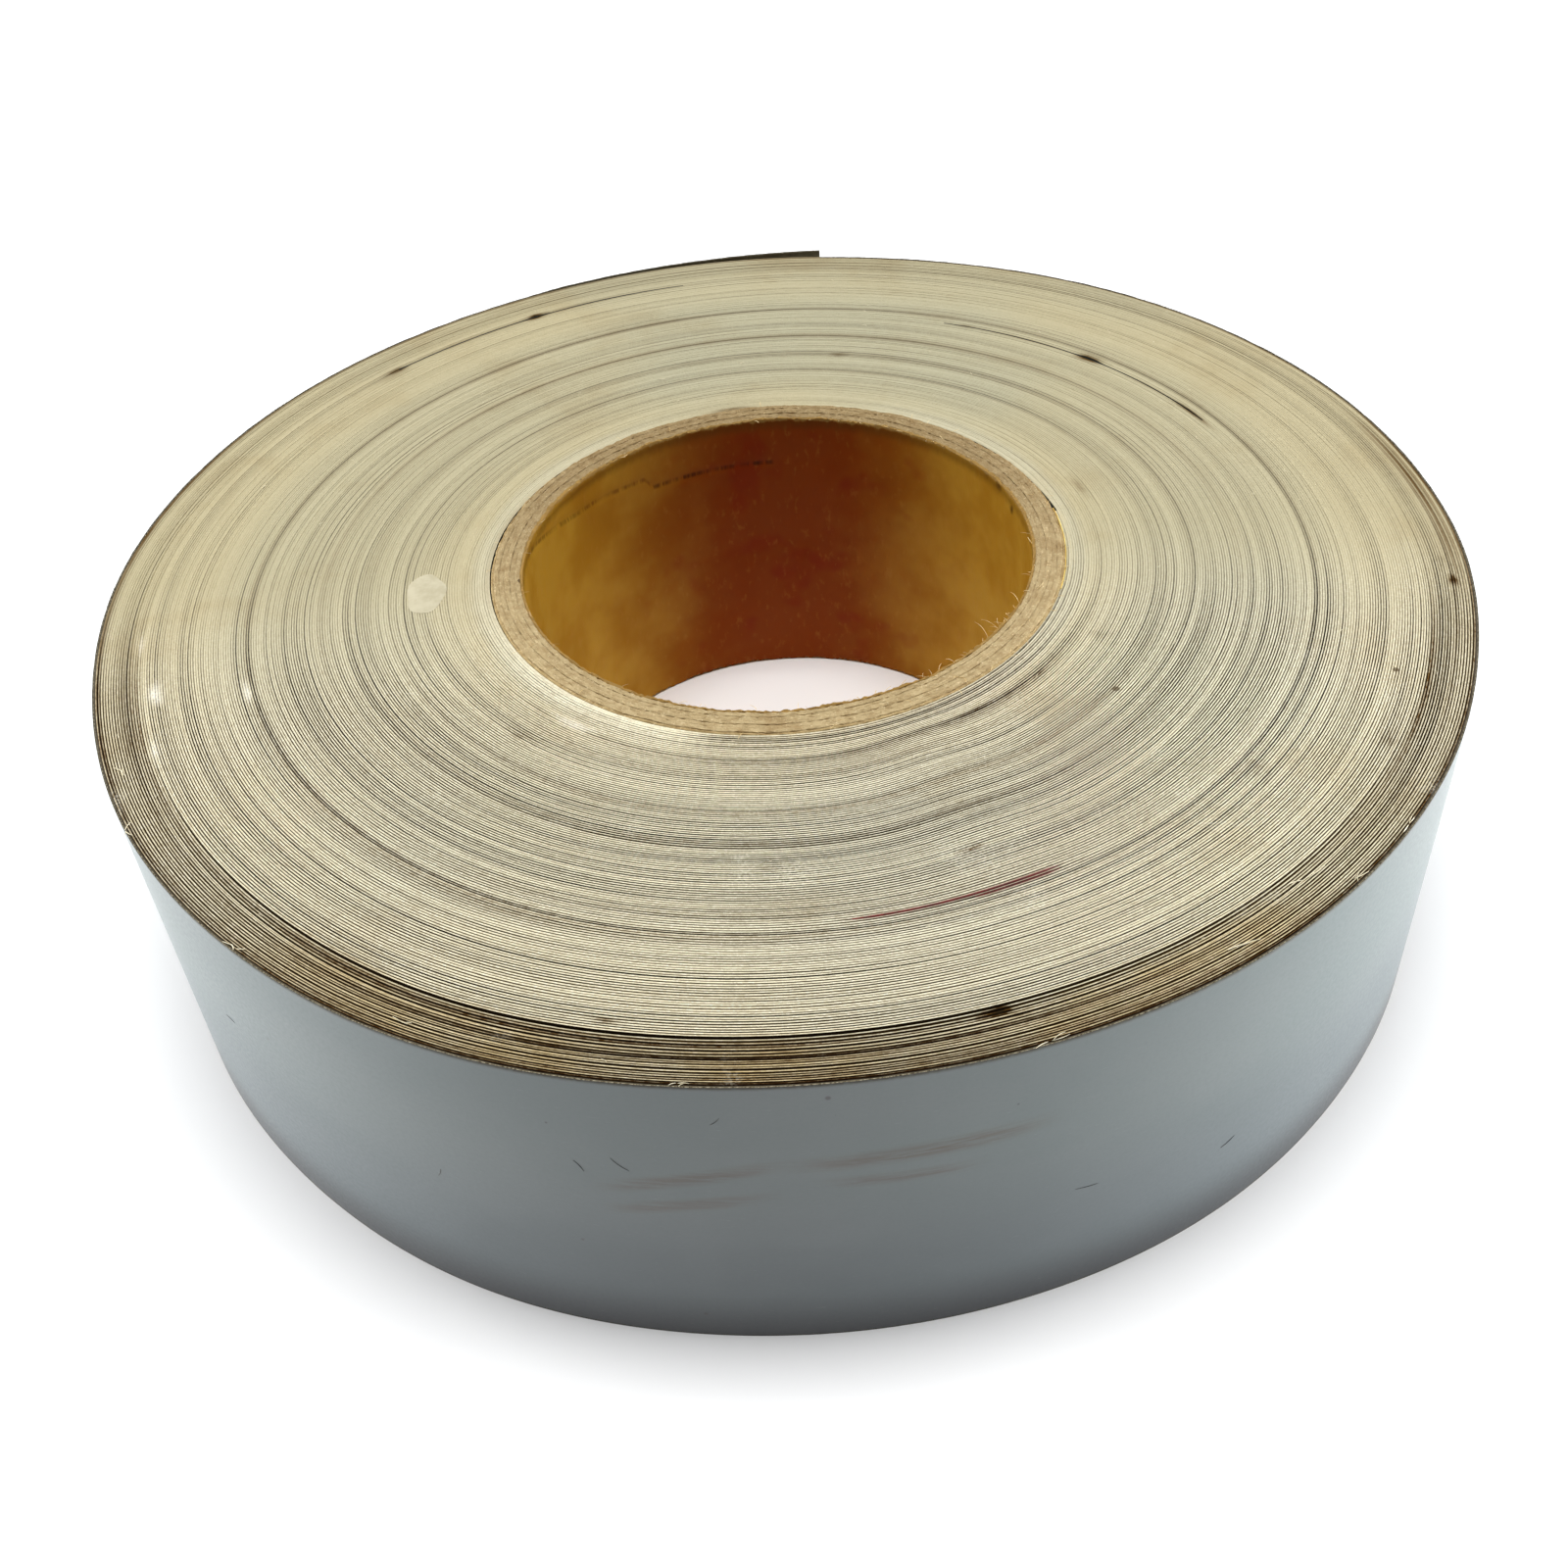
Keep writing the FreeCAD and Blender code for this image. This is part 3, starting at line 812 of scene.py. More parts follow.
def film_material():
    """The grey polyethylene face: satin, faintly mottled, with specks, scuffs and brown smears, and painted
    shade towards its bottom.
    """
    m = Shading("tape_film_face", Specular_IOR_Level=0.75, IOR=1.5)
    along, _, up = m.place()
    flat = m.join(along, up, 0.0)
    mottle = m.ramp(m.noise(flat, (0.03, 0.05, 1), 3.0, 0.6), 0.35, 0.65)
    grain = m.noise(flat, (1.6, 1.6, 1), 3.0, 0.65)
    weave = m.noise(flat, (0.35, 4.0, 1), 1.0, 0.5) + m.noise(flat, (4.0, 0.35, 1), 1.0, 0.5)
    # painted shade: the film's colour is darker in its lower part
    upper = m.mix(mottle, colour(76, 87, 87), colour(82, 91, 91))
    lower = m.mix(mottle, colour(64, 74, 77), colour(71, 80, 83))
    m.base = m.mix(m.ramp(up, 12, 38), lower, upper)
    m.paint(m.ramp(grain, 0.4, 0.75, 0.0, 0.12), 68, 78, 79)
    # painted shade near the floor: the lowest part of the film is painted much darker
    m.paint(m.ramp(up, 11.0, 0.5, 0.0, 0.9), 28, 32, 36)

    streaks = m.ramp(m.noise(flat, (0.12, 1.6, 1), 3.0, 0.7), 0.34, 0.6, 0.25, 1.0)
    for degrees, height, length, width, climb, strength in RUB_MARKS:
        away = along - place_on_film(degrees)
        rise = away * climb + (up - height)
        body = m.ramp(abs(away), length, length * 0.3) * m.ramp(abs(rise), width, width * 0.1)
        m.dye(body * streaks * strength, 206, 162, 124)

    dots = m.specks(flat, (0.16, 0.16, 1), 0.075, 0.16)
    fine = m.specks(flat, (0.4, 0.4, 1), 0.06, 0.04)
    m.paint(m.most(dots, fine) * 0.8, 45, 44, 42)
    for degrees, height, size in FILM_DOTS:
        away = m.distance(flat, (place_on_film(degrees), height, 0))
        m.paint(m.ramp(away, size, size * 0.4, 0.0, 0.85), 40, 36, 34)
    scuff = m.noise(flat, (0.5, 7.0, 1), 2.0, 0.6)
    m.paint(m.ramp(scuff, 0.66, 0.8, 0.0, 0.3), 140, 145, 147)

    _, y, _ = m.split(m.where())
    rim = m.most(m.ramp(up, 49.2, 49.95), m.ramp(up, 0.6, 0.0)) * m.ramp(y, 0.0, -0.06, 0.45, 1.0)
    m.paint(rim * m.ramp(grain, 0.3, 0.6, 0.6, 1.0), 50, 45, 32)
    roughness = m.most(m.ramp(grain, 0.3, 0.7, 0.29, 0.36), rim * 0.8)
    return m.finish(roughness, weave * 0.5 + grain * 0.3, 0.005 * MM)


YARN_PITCH = 0.9


def cloth_material():
    """The woven backing, seen at its cut edge and between the film and the adhesive."""
    m = Shading("tape_cloth_weave", Specular_IOR_Level=0.2, Sheen_Weight=0.1)
    along, _, up = m.place()
    weave = m.math("SINE", along * (TURN / YARN_PITCH)) * m.math("SINE", up * (TURN / YARN_PITCH))
    yarn = m.noise(m.join(along * 2.2, up * 0.6, 0.0), 1, 2.0, 0.6)
    m.base = m.mix(m.ramp(yarn, 0.32, 0.62), colour(176, 160, 122), colour(232, 222, 190))
    m.paint(m.ramp(weave, 0.0, 1.0, 0.0, 0.3), 150, 136, 102)
    edge = m.most(m.ramp(up, 49.2, 49.9), m.ramp(up, 0.8, 0.1))
    m.paint(edge * m.ramp(yarn, 0.35, 0.62, 1.0, 0.6), 66, 55, 34)
    return m.finish(m.ramp(yarn, 0.3, 0.7, 0.95, 0.8), weave, 0.05 * MM)


def adhesive_material():
    """Rubber adhesive: dull cream where it was covered, dark with dirt along its edges."""
    m = Shading("tape_adhesive_layer", Specular_IOR_Level=0.45, IOR=1.5)
    along, _, up = m.place()
    flat = m.join(along, up, 0.0)
    lumps = m.noise(flat, (0.5, 0.5, 1), 3.0, 0.6)
    weave = m.noise(flat, (1.1, 5.0, 1), 1.0, 0.5)
    m.base = m.mix(m.ramp(lumps, 0.35, 0.65), colour(122, 116, 93), colour(106, 100, 78))
    edge = m.most(m.ramp(up, 47.5, 49.6), m.ramp(up, 2.5, 0.4))
    m.paint(edge * m.ramp(lumps, 0.3, 0.6, 0.8, 1.0), 70, 60, 38)
    return m.finish(m.ramp(lumps, 0.3, 0.7, 0.25, 0.45), lumps + weave * 0.4, 0.06 * MM)


def board_material(name, light, dark):
    """Raw chipboard of the core: torn fibres, thin paper layers, specks of dirt, and painted shade towards
    the back.
    """
    m = Shading(name, Specular_IOR_Level=0.15)
    where = m.where()
    x, y, _ = m.split(where)
    torn = m.noise(where, 700, 4.0, 0.7)
    fine = m.noise(where, 2600, 3.0, 0.6)
    blotch = m.noise(where, 160, 2.0, 0.6)
    layer = m.noise(m.join(m.radius(x, y) * 5200, blotch * 3.0, 0.0), 1, 2.0, 0.6)
    m.base = m.mix(m.ramp(torn, 0.35, 0.68, 0.0, 0.8), light, dark)
    m.paint(m.ramp(layer, 0.5, 0.75, 0.0, 0.15), 132, 108, 70)
    m.paint(m.ramp(fine, 0.56, 0.72, 0.0, 0.5), 236, 218, 178)
    m.paint(m.ramp(blotch, 0.56, 0.74, 0.0, 0.4), 138, 108, 66)
    # painted shade: the board is dyed darker towards the back
    m.dye(m.ramp(y, -0.02, 0.03, 0.0, 0.9), 214, 208, 200)
    m.paint(m.specks(where, 260, 0.16, 0.1) * 0.8, 60, 40, 20)
    return m.finish(m.ramp(fine, 0.3, 0.7, 0.98, 0.85), torn + fine * 0.4, 0.2 * MM)


# The bore liner's seam: its height at its end at the back, then the rises in millimetres between two
# angles in degrees as it goes round to the left
SEAM_LOW = 42.2 * MM
SEAM_STEPS = [(121, 124, 2.1), (124, 142, 0.8), (142, 178, 4.0)]
SEAM_END = math.radians(90)
# The angle at the back of the bore where the painted shade is darkest
SHADED_SIDE = math.radians(88)

# Dirt on the bore liner's rim: angle in degrees, height and radius in millimetres
RIM_DIRT = [(15.0, 48.0, 1.1), (22.0, 49.6, 1.3), (27.5, 49.9, 1.0)]


def seam_height(angle):
    height = np.full(np.shape(angle), SEAM_LOW)
    for first, last, rise in SEAM_STEPS:
        height = height + rise * MM * np.clip((np.degrees(angle) - first) / (last - first), 0, 1)
    return height


def liner_material():
    """The waxed kraft liner of the bore: golden at the sides, painted dark red-brown at the back as shade,
    with its seam.
    """
    m = Shading("core_bore_kraft", Specular_IOR_Level=0.06)
    where = m.where()
    x, y, z = m.split(where)
    angle = m.math("ARCTAN2", y, x)
    blotch = m.noise(where, 70, 3.0, 0.6)
    fine = m.noise(m.join(x, y, z * 0.5), 900, 3.0, 0.6)
    m.base = m.mix(m.ramp(blotch, 0.36, 0.64), colour(200, 156, 53), colour(185, 137, 36))
    # painted shade: the back of the bore is painted dark red-brown, with red blotches in it
    back_shade = m.ramp(blotch * -0.35 + abs(angle - SHADED_SIDE), 1.0, 0.0)
    m.paint(back_shade * 0.95, 123, 46, 5)
    red = m.noise(where, 110, 2.0, 0.5)
    m.paint(m.ramp(red, 0.54, 0.7) * (back_shade * 0.5), 122, 28, 10)
    m.paint(m.ramp(fine, 0.55, 0.75, 0.0, 0.12), 206, 150, 76)

    line = SEAM_LOW
    for first, last, rise in SEAM_STEPS:
        line = line + m.ramp(angle, math.radians(first), math.radians(last), 0.0, rise * MM)
    dashes = m.noise(m.join(angle, 0.0, 0.0), (34, 1, 1), 2.0, 0.7)
    fades = m.noise(m.join(angle, 3.0, 0.0), (9, 1, 1), 1.0, 0.5)
    seam = m.ramp(abs(z - line), 0.65 * MM, 0.1 * MM) * m.ramp(dashes, 0.4, 0.56)
    seam = seam * m.ramp(fades, 0.36, 0.56, 0.25, 1.0)
    ends = m.ramp(angle, SEAM_END - 0.02, SEAM_END) * m.ramp(angle, 2.2, 2.0, 0.5, 0.8)
    m.paint(seam * ends, 56, 22, 6)

    for degrees, height, size in RIM_DIRT:
        middle = (*polar(BORE_RADIUS, math.radians(degrees)), height * MM)
        ragged = fine * (2.0 * MM) + (m.distance(where, middle) - 1.0 * MM)
        m.paint(m.ramp(ragged, size * MM, 0.0, 0.0, 0.8), 50, 26, 6)
    top = fine * (1.2 * MM) + z
    m.paint(m.ramp(top, WIDTH - 1.8 * MM, WIDTH + 0.3 * MM, 0.0, 0.55), 84, 56, 12)
    m.paint(m.ramp(top, WIDTH + 0.4 * MM, WIDTH + 0.8 * MM), 146, 116, 64)
    m.paint(m.specks(where, 120, 0.09, 0.08) * 0.7, 58, 26, 10)
    return m.finish(m.ramp(blotch, 0.3, 0.7, 0.42, 0.6), fine + blotch, 0.08 * MM)


def plain_material(name, light, dark, scale, roughness, specular=0.3):
    """A small part's finish: two shades broken up by noise."""
    m = Shading(name, Specular_IOR_Level=specular)
    where = m.where()
    broken = m.noise(where, scale, 3.0, 0.65)
    fine = m.noise(where, scale * 5, 2.0, 0.5)
    m.base = m.mix(m.ramp(broken, 0.35, 0.65), light, dark)
    m.base = m.mix(m.ramp(fine, 0.55, 0.7, 0.0, 0.3), m.base, light)
    return m.finish(m.ramp(fine, 0.3, 0.7, roughness - 0.08, roughness + 0.08), broken, 0.03 * MM)


CUT_EDGES = cut_edge_material()
FILM_FACE = film_material()
CLOTH_FACE = cloth_material()
ADHESIVE_FACE = adhesive_material()
BOARD = board_material("core_board_raw", colour(184, 164, 124), colour(158, 135, 95))
WRAP = board_material("core_wrap_kraft", colour(182, 160, 115), colour(152, 127, 85))
LINER = liner_material()
TAB_FILM = plain_material("start_tab_amber", colour(250, 226, 130), colour(214, 170, 70), 300, 0.35)
PATCH = plain_material("splicing_tape_dark", colour(92, 74, 44), colour(56, 42, 22), 400, 0.4)
MARKER_RED = plain_material("marker_film_red", colour(112, 5, 9), colour(70, 2, 5), 500, 0.6)
FIBRE = plain_material("paper_fibres", colour(236, 216, 168), colour(196, 164, 104), 900, 0.7)
YARN = plain_material("loose_yarn", colour(238, 230, 204), colour(206, 196, 164), 900, 0.8)
HAIR = plain_material("dark_hair", colour(66, 58, 50), colour(38, 34, 30), 900, 0.5)
GLUE = plain_material("dried_glue", colour(194, 186, 158), colour(180, 171, 142), 300, 0.5, 0.35)


# ---------------------------------------------------------------- the core

CORE_RISE = 0.3 * MM


def tube(name, inner, outer, low, high, stations, rows, across, rough, dents=None):
    """A ring of the core. Its ends are rough where it was cut, and its rims are slightly broken."""
    angle = np.arange(stations) * TURN / stations
    spread = np.linspace(inner, outer, across + 1)
    rng = np.random.default_rng(len(name) + stations + round(inner / MM * 100))
    top = high + rough * (
        0.5 * ripple(angle, (5, 11, 23, 41), 51)[:, None]
        + rng.uniform(-0.8, 0.8, (stations, across + 1))
    )
    top[:, [0, -1]] -= 0.06 * MM
    bottom = np.maximum(low - (top - high), 0.02 * MM)

    def wall(k):
        heights = [bottom[:, k] + (top[:, k] - bottom[:, k]) * row / rows for row in range(rows + 1)]
        return [(spread[k], height) for height in heights]

    upper = [(spread[k], top[:, k]) for k in range(1, across)]
    lower = [(spread[k], bottom[:, k]) for k in range(1, across)]
    outline = wall(0) + upper + wall(-1)[::-1] + lower[::-1]
    rings = np.stack([np.column_stack([polar(r, angle), z]) for r, z in outline], axis=1)
    if dents is not None:
        depth = dents(np.repeat(angle[:, None], rows + 1, 1), rings[:, : rows + 1, 2])
        rings[:, : rows + 1, :2] *= (1 + depth / inner)[..., None]
    return loft(name, rings, True)


def liner_dents(angle, height):
    """The bore's wall: a groove along the helical seam and shallow unevenness."""
    turn = wrapped(angle)
    away = height - seam_height(turn)
    groove = np.exp(-((away / (0.45 * MM)) ** 2)) * smooth(turn, SEAM_END - 0.02, SEAM_END + 0.02)
    uneven = ripple(angle + height * 60, (3, 5, 9), 55)
    return 0.14 * MM * groove * (turn > 0) + 0.04 * MM * uneven


def build_core():
    low = CORE_RISE
    nodes = ["core_inner_liner"] + [f"core_ply_{n}" for n in range(1, 6)] + ["core_outer_liner"]
    for number, node in enumerate(nodes):
        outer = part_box(node)[1].x
        inner = BORE_RADIUS if number == 0 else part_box(nodes[number - 1])[1].x + 0.01 * MM
        high = WIDTH + CORE_RISE + (0.12, 0.05, -0.04, 0.08, -0.02, 0.04, -0.12)[number] * MM
        if number == 0:
            piece = tube("bore_liner", inner, outer, low, high, 500, 96, 2, 0.24 * MM, liner_dents)
            finish_piece(piece, LINER, node)
        elif number == 6:
            piece = tube("outer_liner", inner, outer, low, high, 360, 2, 3, 0.16 * MM)
            finish_piece(piece, WRAP, node)
        else:
            piece = tube(f"chipboard_ply_{number}", inner, outer, low, high, 540, 2, 6, 0.13 * MM)
            finish_piece(piece, BOARD, node)


# ---------------------------------------------------------------- wound tape and its strips

def build_strip(strip, name, material, node, proud):
    """A thin strip in its slot between two turns."""
    low, high = strip.span
    s = np.linspace(low, high, 60)
    angle = START_ANGLE - TURN * s
    row = 1 / ROWS[2]
    inner = roll_radius(s, angle, row) + 0.01 * MM
    outer = np.minimum(inner + strip.thickness, roll_radius(s + row, angle, row) - 0.01 * MM)
    top = edge_height(s) + proud * MM + 0.03 * MM * wander(s, 0.01, 61)
    low_edge = np.maximum(top - WIDTH, 0.05 * MM)
    piece = strip_loft(name, polar(inner, angle), polar(outer, angle), low_edge, top, arm_length(s), 2)
    return finish_piece(piece, material, node)


def build_start_tab():
    angle = TAB[0] + np.linspace(0, TAB[1] / CORE_RADIUS, 40)
    inner = np.full(40, CORE_RADIUS + 0.01 * MM)
    top = WIDTH + CORE_RISE + 0.05 * MM * wander(angle, 0.05, 62)
    piece = strip_loft(
        "first_turn_tab",
        polar(inner, angle)[::-1],
        polar(inner + TAB[2], angle)[::-1],
        0.1 * MM,
        top[::-1],
        angle * 43,
        2,
    )
    finish_piece(piece, TAB_FILM, "start_tab")


def build_windings():
    for number, name, first, last, stations in (
        (1, "first_length", 0, FIRST_END, 180),
        (2, "second_length", FIRST_END, SECOND_END, 240),
        (3, "third_length", SECOND_END, THIRD_END, 360),
    ):
        piece = wound_length(number, name, first, last, stations)
        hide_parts(f"tape_length_{number}")
        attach(piece, "roll")
    build_strip(PATCH_1, "first_splice_patch", PATCH, "splice_patch_1", -0.25)
    build_strip(PATCH_2, "second_splice_patch", PATCH, "splice_patch_2", -0.2)
    build_strip(LONG_LEAF, "red_marker_leaf", MARKER_RED, "splice_marker_long_leaf", 0.12)
    build_strip(SHORT_LEAF, "red_marker_fold", MARKER_RED, "splice_marker_short_leaf", 0.1)
    build_start_tab()


# ---------------------------------------------------------------- outermost turn and lifted tail

LAYERS = {
    "adhesive": (0, ADHESIVE, ADHESIVE_FACE, 0.1 * MM),
    "cloth": (ADHESIVE, ADHESIVE + CLOTH, CLOTH_FACE, 0.03 * MM),
    "film": (ADHESIVE + CLOTH, TAPE, FILM_FACE, 0.0),
}
LAYER_GAP = 0.004 * MM
SPIRAL_CENTRE = Vector((math.cos(WOUND_END[1]), math.sin(WOUND_END[1]))) * TAPE / 2
ROOT_DIRECTION = Vector((math.cos(TAIL_ROOT), math.sin(TAIL_ROOT)))
TAIL_CENTRE = SPIRAL_CENTRE - ROOT_DIRECTION * (TAIL_RADIUS - WOUND_END[0] - TAPE / 2 - TAIL_GAP)


def tail_point(distance, offset):
    """XY points of the lifted tail at distances from its root, and at an offset from its sticky face."""
    distance = np.asarray(distance, float)
    s = ROOT_TURNS + distance / (TURN * 100.5 * MM)
    angle = START_ANGLE - TURN * s
    wound = polar(roll_radius(s, angle) + offset, angle)
    curl = TAIL_ROOT - distance / TAIL_RADIUS
    lifted = np.array(TAIL_CENTRE) + polar(TAIL_RADIUS + offset, curl)
    share = smooth(distance, 0, 9 * MM)[..., None]
    return wound * (1 - share) + lifted * share


def rim_wear(along, seed):
    """Small ups and downs of a cut edge."""
    return 0.035 * MM * wander(along, 1.7, seed) + 0.02 * MM * wander(along, 0.6, seed + 1)


def build_layers(name, node, along, face_at, body="roll"):
    """The tape's three layers. face_at gives a face's XY points at its offset from the sticky side."""
    pieces = []
    for seed, (layer, (low, high, material, recess)) in enumerate(LAYERS.items()):
        piece = strip_loft(
            name.format(layer),
            face_at(low + LAYER_GAP),
            face_at(high - LAYER_GAP),
            recess,
            WIDTH - recess,
            along,
            12,
            0.015 * MM,
            rim_wear(along, 70 + 2 * seed),
        )
        pieces.append(finish_piece(piece, material, node.format(layer), body))
    return pieces


def build_outer_turn():
    s = np.linspace(THIRD_END, ROOT_TURNS, 700)
    angle = START_ANGLE - TURN * s
    radius = roll_radius(s, angle)

    def face_at(offset):
        return polar(radius + offset, angle)

    build_layers("outermost_{}", "outer_turn_{}", arm_length(s), face_at)


def build_tail():
    """Each layer of the tail in four lengths, each lying across one hinge, from middle to middle."""
    root_along = float(arm_length(ROOT_TURNS))
    count = len(frame["joints"])
    for number in range(1, count + 1):
        start = 0.0 if number == 1 else (number - 1.5) * TAIL_PITCH
        end = TAIL_LENGTH - 0.2 * MM if number == count else (number - 0.5) * TAIL_PITCH
        distance = np.linspace(start, end, round((end - start) / (0.5 * MM)) + 1)
        hinge = (number - 1) * TAIL_PITCH
        ends = [tail_point([d], 0)[0] for d in (max(hinge - HALF_BEND, 0.0), hinge + HALF_BEND)]
        ends = [(float(x), float(y), WIDTH / 2) for x, y in ends]

        def face_at(offset, distance=distance):
            return tail_point(distance, offset)

        along = root_along + distance / MM
        name, node = f"tail_{{}}_bend_{number}", f"tail_{{}}_{number}"
        for piece in build_layers(name, node, along, face_at, None):
            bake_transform(piece)


# ---------------------------------------------------------------- small loose details

def strand(path, thickness, sides=6):
    """Rings of points round a thin fibre that follows a path and tapers at both ends."""
    path = np.asarray(path, float)
    along = np.gradient(path, axis=0)
    along /= np.linalg.norm(along, axis=1)[:, None]
    side = np.cross(along, [0.3, 0.2, 0.93])
    side /= np.linalg.norm(side, axis=1)[:, None]
    up = np.cross(side, along)
    share = np.linspace(0, 1, len(path))
    width = thickness / 2 * (0.35 + 0.65 * np.sin(math.pi * np.clip(share * 0.9 + 0.05, 0, 1)))
    turn = np.arange(sides) * TURN / sides
    return (
        path[:, None]
        + side[:, None] * (width[:, None] * np.cos(turn))[..., None]
        + up[:, None] * (width[:, None] * np.sin(turn))[..., None]
    )


def bundle(name, strands, material):
    """Many separate closed fibres as one piece."""
    points, faces = [], []
    for rings in strands:
        count, size = rings.shape[:2]
        faces += skin(len(points) + np.arange(count * size).reshape(count, size))
        points += rings.reshape(-1, 3).tolist()
    piece = new_mesh(name, points, faces, 60)
    return finish_piece(piece, material, None)


def curl(start, heading, length, bend, lift, steps=10):
    """A gently bent path: from a start point, along a heading, turning by bend and rising by lift."""
    share = np.linspace(0, 1, steps)
    turn = heading + bend * share
    step = length / (steps - 1)
    x = start[0] + np.concatenate([[0], np.cumsum(np.cos(turn[1:]) * step)])
    y = start[1] + np.concatenate([[0], np.cumsum(np.sin(turn[1:]) * step)])
    z = start[2] + lift * np.sin(math.pi * 0.5 * share)
    return np.column_stack([x, y, z])


def surface_height(radius):
    return float(edge_height(turns_at(radius))) + 0.02 * MM


# Long fibres on the bore's rim: angle in degrees, radius and length in millimetres, and heading
LONG_FIBRES = [(318, 38.3, 3.4, 2.4), (322, 38.2, 2.6, 2.9), (332, 38.4, 2.2, 2.2)]


def build_core_fibres():
    rng = np.random.default_rng(81)
    strands = []
    for _ in range(150):
        angle = rng.uniform(0, TURN)
        if rng.uniform() < 0.45:
            angle = math.radians(rng.normal(318, 26))
        anywhere = rng.uniform(38.6, 42.4) * MM
        radius = rng.choice([BORE_RADIUS + 0.15 * MM, CORE_RADIUS - 0.3 * MM, anywhere])
        start = (*polar(radius, angle), WIDTH + CORE_RISE - 0.05 * MM)
        heading = angle + rng.normal(math.pi if radius < 39 * MM else 0, 0.9)
        length = rng.uniform(0.5, 1.8) * MM
        path = curl(start, heading, length, rng.uniform(-1.4, 1.4), rng.uniform(0.05, 0.45) * MM)
        strands.append(strand(path, rng.uniform(0.04, 0.08) * MM, 5))
    for degrees, radius, length, turn in LONG_FIBRES:
        angle = math.radians(degrees)
        start = (*polar(radius * MM, angle), WIDTH + CORE_RISE)
        strands.append(strand(curl(start, angle + turn, length * MM, 0.7, 0.9 * MM), 0.06 * MM, 5))
    bundle("core_rim_fibres", strands, FIBRE)


# Tufts of yarn on the end face: angle in degrees, radius and length in millimetres
TUFTS = [
    (300, 98.2, 3.4), (308, 95.7, 3.0), (311, 99.6, 2.2), (285, 100.2, 2.2), (318, 99.9, 1.8),
    (205, 97.5, 2.0), (212, 100.2, 1.8), (228, 100.2, 2.0), (243, 99.0, 1.6), (262, 100.2, 1.5),
]

# Dark hairs on the film: angle in degrees, height and length in millimetres, tilt and bow in radians
HAIRS = [
    (256.6, 36.5, 3.2, -1.1, 0.5),
    (254.0, 35.0, 2.4, -0.8, -0.5),
    (263.4, 43.5, 1.8, 0.5, 0.6),
    (287.5, 21.0, 3.4, -0.25, 0.2),
    (300.0, 15.0, 2.6, 0.1, 0.5),
    (243.0, 24.0, 2.0, 0.9, 0.5),
    (222.0, 30.0, 2.6, 0.4, -0.6),
    (40.0, 28.0, 2.8, 0.6, 0.7),
    (160.0, 18.0, 2.2, -0.4, 0.5),
]


def build_loose_yarns():
    rng = np.random.default_rng(83)
    strands = []
    for degrees, radius, length in TUFTS:
        for _ in range(3):
            angle = math.radians(degrees + rng.uniform(-0.6, 0.6))
            start = (*polar(radius * MM, angle), surface_height(radius * MM))
            heading = angle + rng.choice([-1, 1]) * math.pi / 2 + rng.normal(0, 0.35)
            path = curl(start, heading, rng.uniform(0.5, 1) * length * MM, rng.uniform(-0.8, 0.8), 0.2 * MM)
            strands.append(strand(path, rng.uniform(0.07, 0.13) * MM))
    for _ in range(120):
        radius = math.sqrt(rng.uniform(44**2, 100**2)) * MM
        angle = rng.uniform(0, TURN)
        there = float(roll_radius(turns_at(radius), angle))
        start = (*polar(there, angle), surface_height(radius))
        heading = angle + math.pi / 2 + rng.normal(0, 0.25)
        path = curl(start, heading, rng.uniform(0.4, 1.2) * MM, rng.uniform(-0.5, 0.5), 0.06 * MM, 6)
        strands.append(strand(path, rng.uniform(0.04, 0.07) * MM, 5))
    bundle("loose_edge_yarns", strands, YARN)


def film_radius(angle):
    return float(roll_radius(outermost_turns(angle), angle)) + TAPE


def build_hairs():
    """A few dark hairs that lie on the film, following its curve."""
    strands = []
    for degrees, height, length, tilt, bow in HAIRS:
        share = np.linspace(0, 1, 12)
        turn = tilt + bow * share
        across = math.radians(degrees) + np.cumsum(np.cos(turn)) * length * MM / 12 / (100.8 * MM)
        up = height * MM + np.cumsum(np.sin(turn)) * length * MM / 12
        radius = np.array([film_radius(a % TURN) for a in across]) + 0.02 * MM
        strands.append(strand(np.column_stack([polar(radius, across), up]), 0.07 * MM))
    bundle("hairs_on_film", strands, HAIR)


def build_glue_blob():
    """A flat drop of dried glue on the end face."""
    centre = polar(52.5 * MM, math.radians(185.6))
    angle = np.arange(48) * TURN / 48
    outline = 1 + 0.07 * ripple(angle, (2, 3, 5), 91)
    rings = []
    base = surface_height(53 * MM)
    for share in (1.0, 0.93, 0.75, 0.5, 0.25):
        x = centre[0] + 2.9 * MM * share * outline * np.cos(angle)
        y = centre[1] + 4.9 * MM * share * outline * np.sin(angle)
        swell = 0.09 * MM * (1 - share**4) + 0.015 * MM * (share < 1) * ripple(angle + share, (3, 4), 92)
        rings.append(np.column_stack([x, y, base + swell]))
    under = rings[0] - [0, 0, 0.12 * MM]
    piece = loft("dried_glue_drop", [under, *rings], sharp_angle=50)
    finish_piece(piece, GLUE, None)


# ---------------------------------------------------------------- floor, light and camera

FLOOR_SIZE, FLOOR_GAP = 40, 0.02 * MM
FLOOR_COLOUR = (0.9, 0.9, 0.9, 1)

# The world's strength on the camera's side and on the far side
WORLD_FRONT, WORLD_BACK = 0.05, 0.85

# Soft boxes: name, place, what it faces, width, height and power
LIGHTS = [
    ("overhead", (0, -0.03, 0.9), (0, 0, 0), 0.6, 0.3, 6.4),
    ("left_box", (-0.75, 0.2, 0.036), (0, 0, 0.03), 0.6, 0.06, 20.5),
    ("right_box", (0.78, 0.06, 0.036), (0, 0, 0.03), 0.6, 0.06, 22.5),
]

# The camera stands close to the roll and looks down on it, slightly tilted
CAMERA_DISTANCE = 0.2891
CAMERA_ELEVATION = 0.7384
CAMERA_YAW, CAMERA_PITCH, CAMERA_ROLL = 0.0053, 0.0072, 0.0667
CAMERA_LENS, SENSOR_WIDTH = 39.11, 36


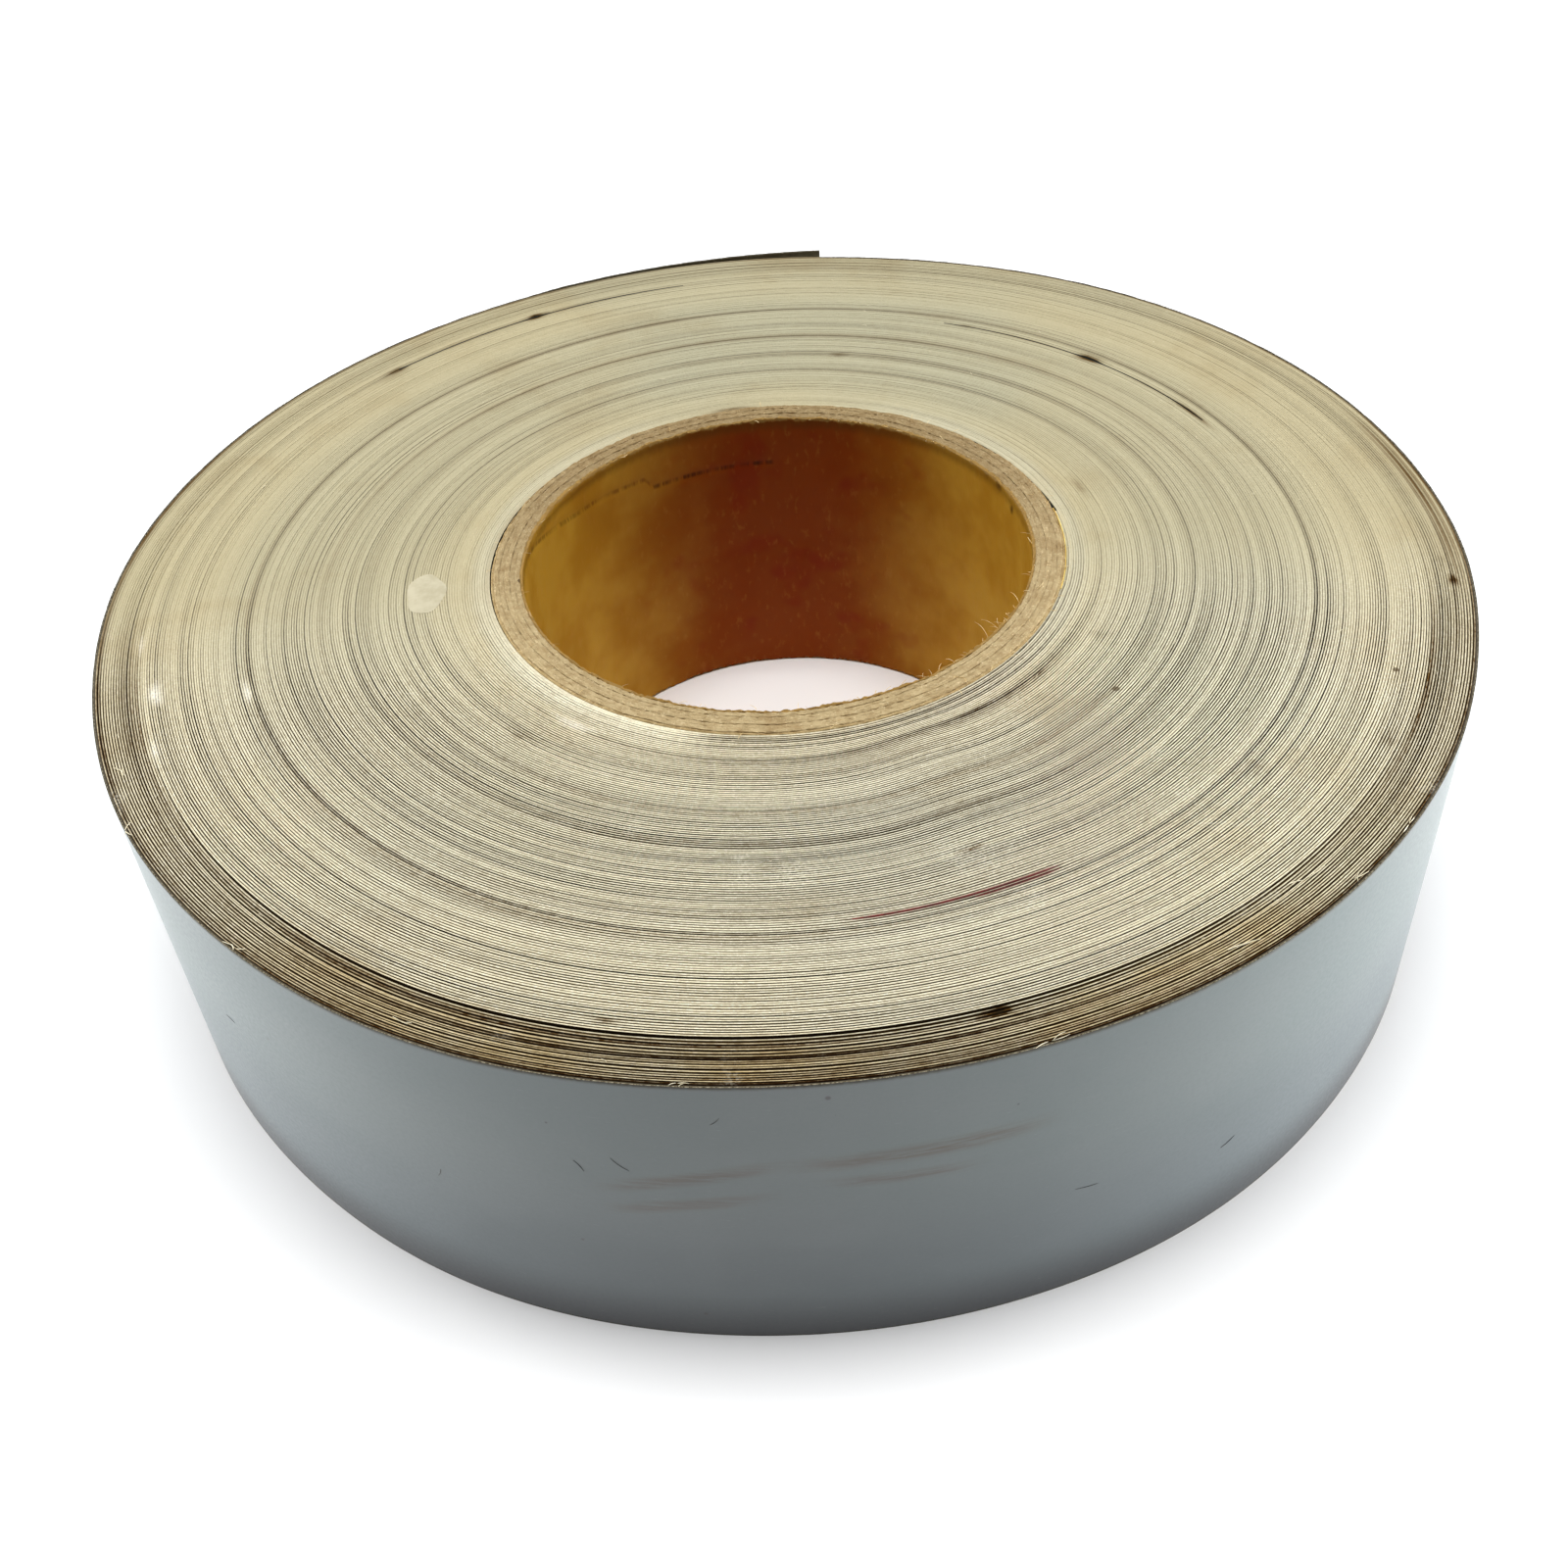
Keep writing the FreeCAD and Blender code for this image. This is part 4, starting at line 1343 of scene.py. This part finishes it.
def build_floor():
    bpy.ops.mesh.primitive_plane_add(size=FLOOR_SIZE, location=(0, 0, -FLOOR_GAP))
    floor = bpy.context.object
    floor.name = "floor"
    m = Shading("pale_floor", Specular_IOR_Level=0.1, Roughness=0.9)
    m.base = FLOOR_COLOUR
    floor.data.materials.append(m.finish())


def area_light(name, place, aim, width, height, power):
    data = bpy.data.lights.new(name, "AREA")
    data.shape, data.size, data.size_y = "RECTANGLE", width, height
    data.energy = power
    light = bpy.data.objects.new(name, data)
    light.location = place
    light.rotation_mode = "QUATERNION"
    light.rotation_quaternion = (Vector(aim) - Vector(place)).to_track_quat("-Z", "Y")
    bpy.context.scene.collection.objects.link(light)


def build_light():
    """A bright studio all round, dimmer on the camera's side, with soft boxes above and beside."""
    world = bpy.data.worlds.new("studio")
    bpy.context.scene.world = world
    world.use_nodes = True
    tree = world.node_tree
    background = tree.nodes["Background"]
    direction = tree.nodes.new("ShaderNodeTexCoord").outputs["Generated"]
    parts = tree.nodes.new("ShaderNodeSeparateXYZ")
    tree.links.new(direction, parts.inputs[0])
    front = tree.nodes.new("ShaderNodeMapRange")
    front.interpolation_type = "SMOOTHSTEP"
    for key, value in ((1, -0.75), (2, 0.1), (3, WORLD_FRONT), (4, WORLD_BACK)):
        front.inputs[key].default_value = value
    tree.links.new(parts.outputs[1], front.inputs[0])
    tree.links.new(front.outputs[0], background.inputs["Strength"])
    background.inputs["Color"].default_value = (0.98, 0.99, 1, 1)
    for light in LIGHTS:
        area_light(*light)


def build_camera():
    place = Vector((
        0,
        -CAMERA_DISTANCE * math.cos(CAMERA_ELEVATION),
        CAMERA_DISTANCE * math.sin(CAMERA_ELEVATION),
    ))
    forward = -place.normalized()
    right = forward.cross(Vector((0, 0, 1))).normalized()
    up = right.cross(forward)
    for angle, axis in ((CAMERA_YAW, up), (CAMERA_PITCH, right), (CAMERA_ROLL, forward)):
        turn = Matrix.Rotation(angle, 3, axis.copy())
        forward, right, up = turn @ forward, turn @ right, turn @ up
    data = bpy.data.cameras.new("camera")
    data.lens, data.sensor_width = CAMERA_LENS, SENSOR_WIDTH
    data.clip_start = 0.01
    camera = bpy.data.objects.new("camera", data)
    camera.matrix_world = Matrix.LocRotScale(place, Matrix((right, up, -forward)).transposed(), None)
    bpy.context.scene.collection.objects.link(camera)
    bpy.context.scene.camera = camera


build_core()
build_windings()
build_outer_turn()
build_tail()
build_core_fibres()
build_loose_yarns()
build_hairs()
build_glue_blob()
build_floor()
build_light()
build_camera()
bpy.context.scene.view_settings.view_transform = "Standard"
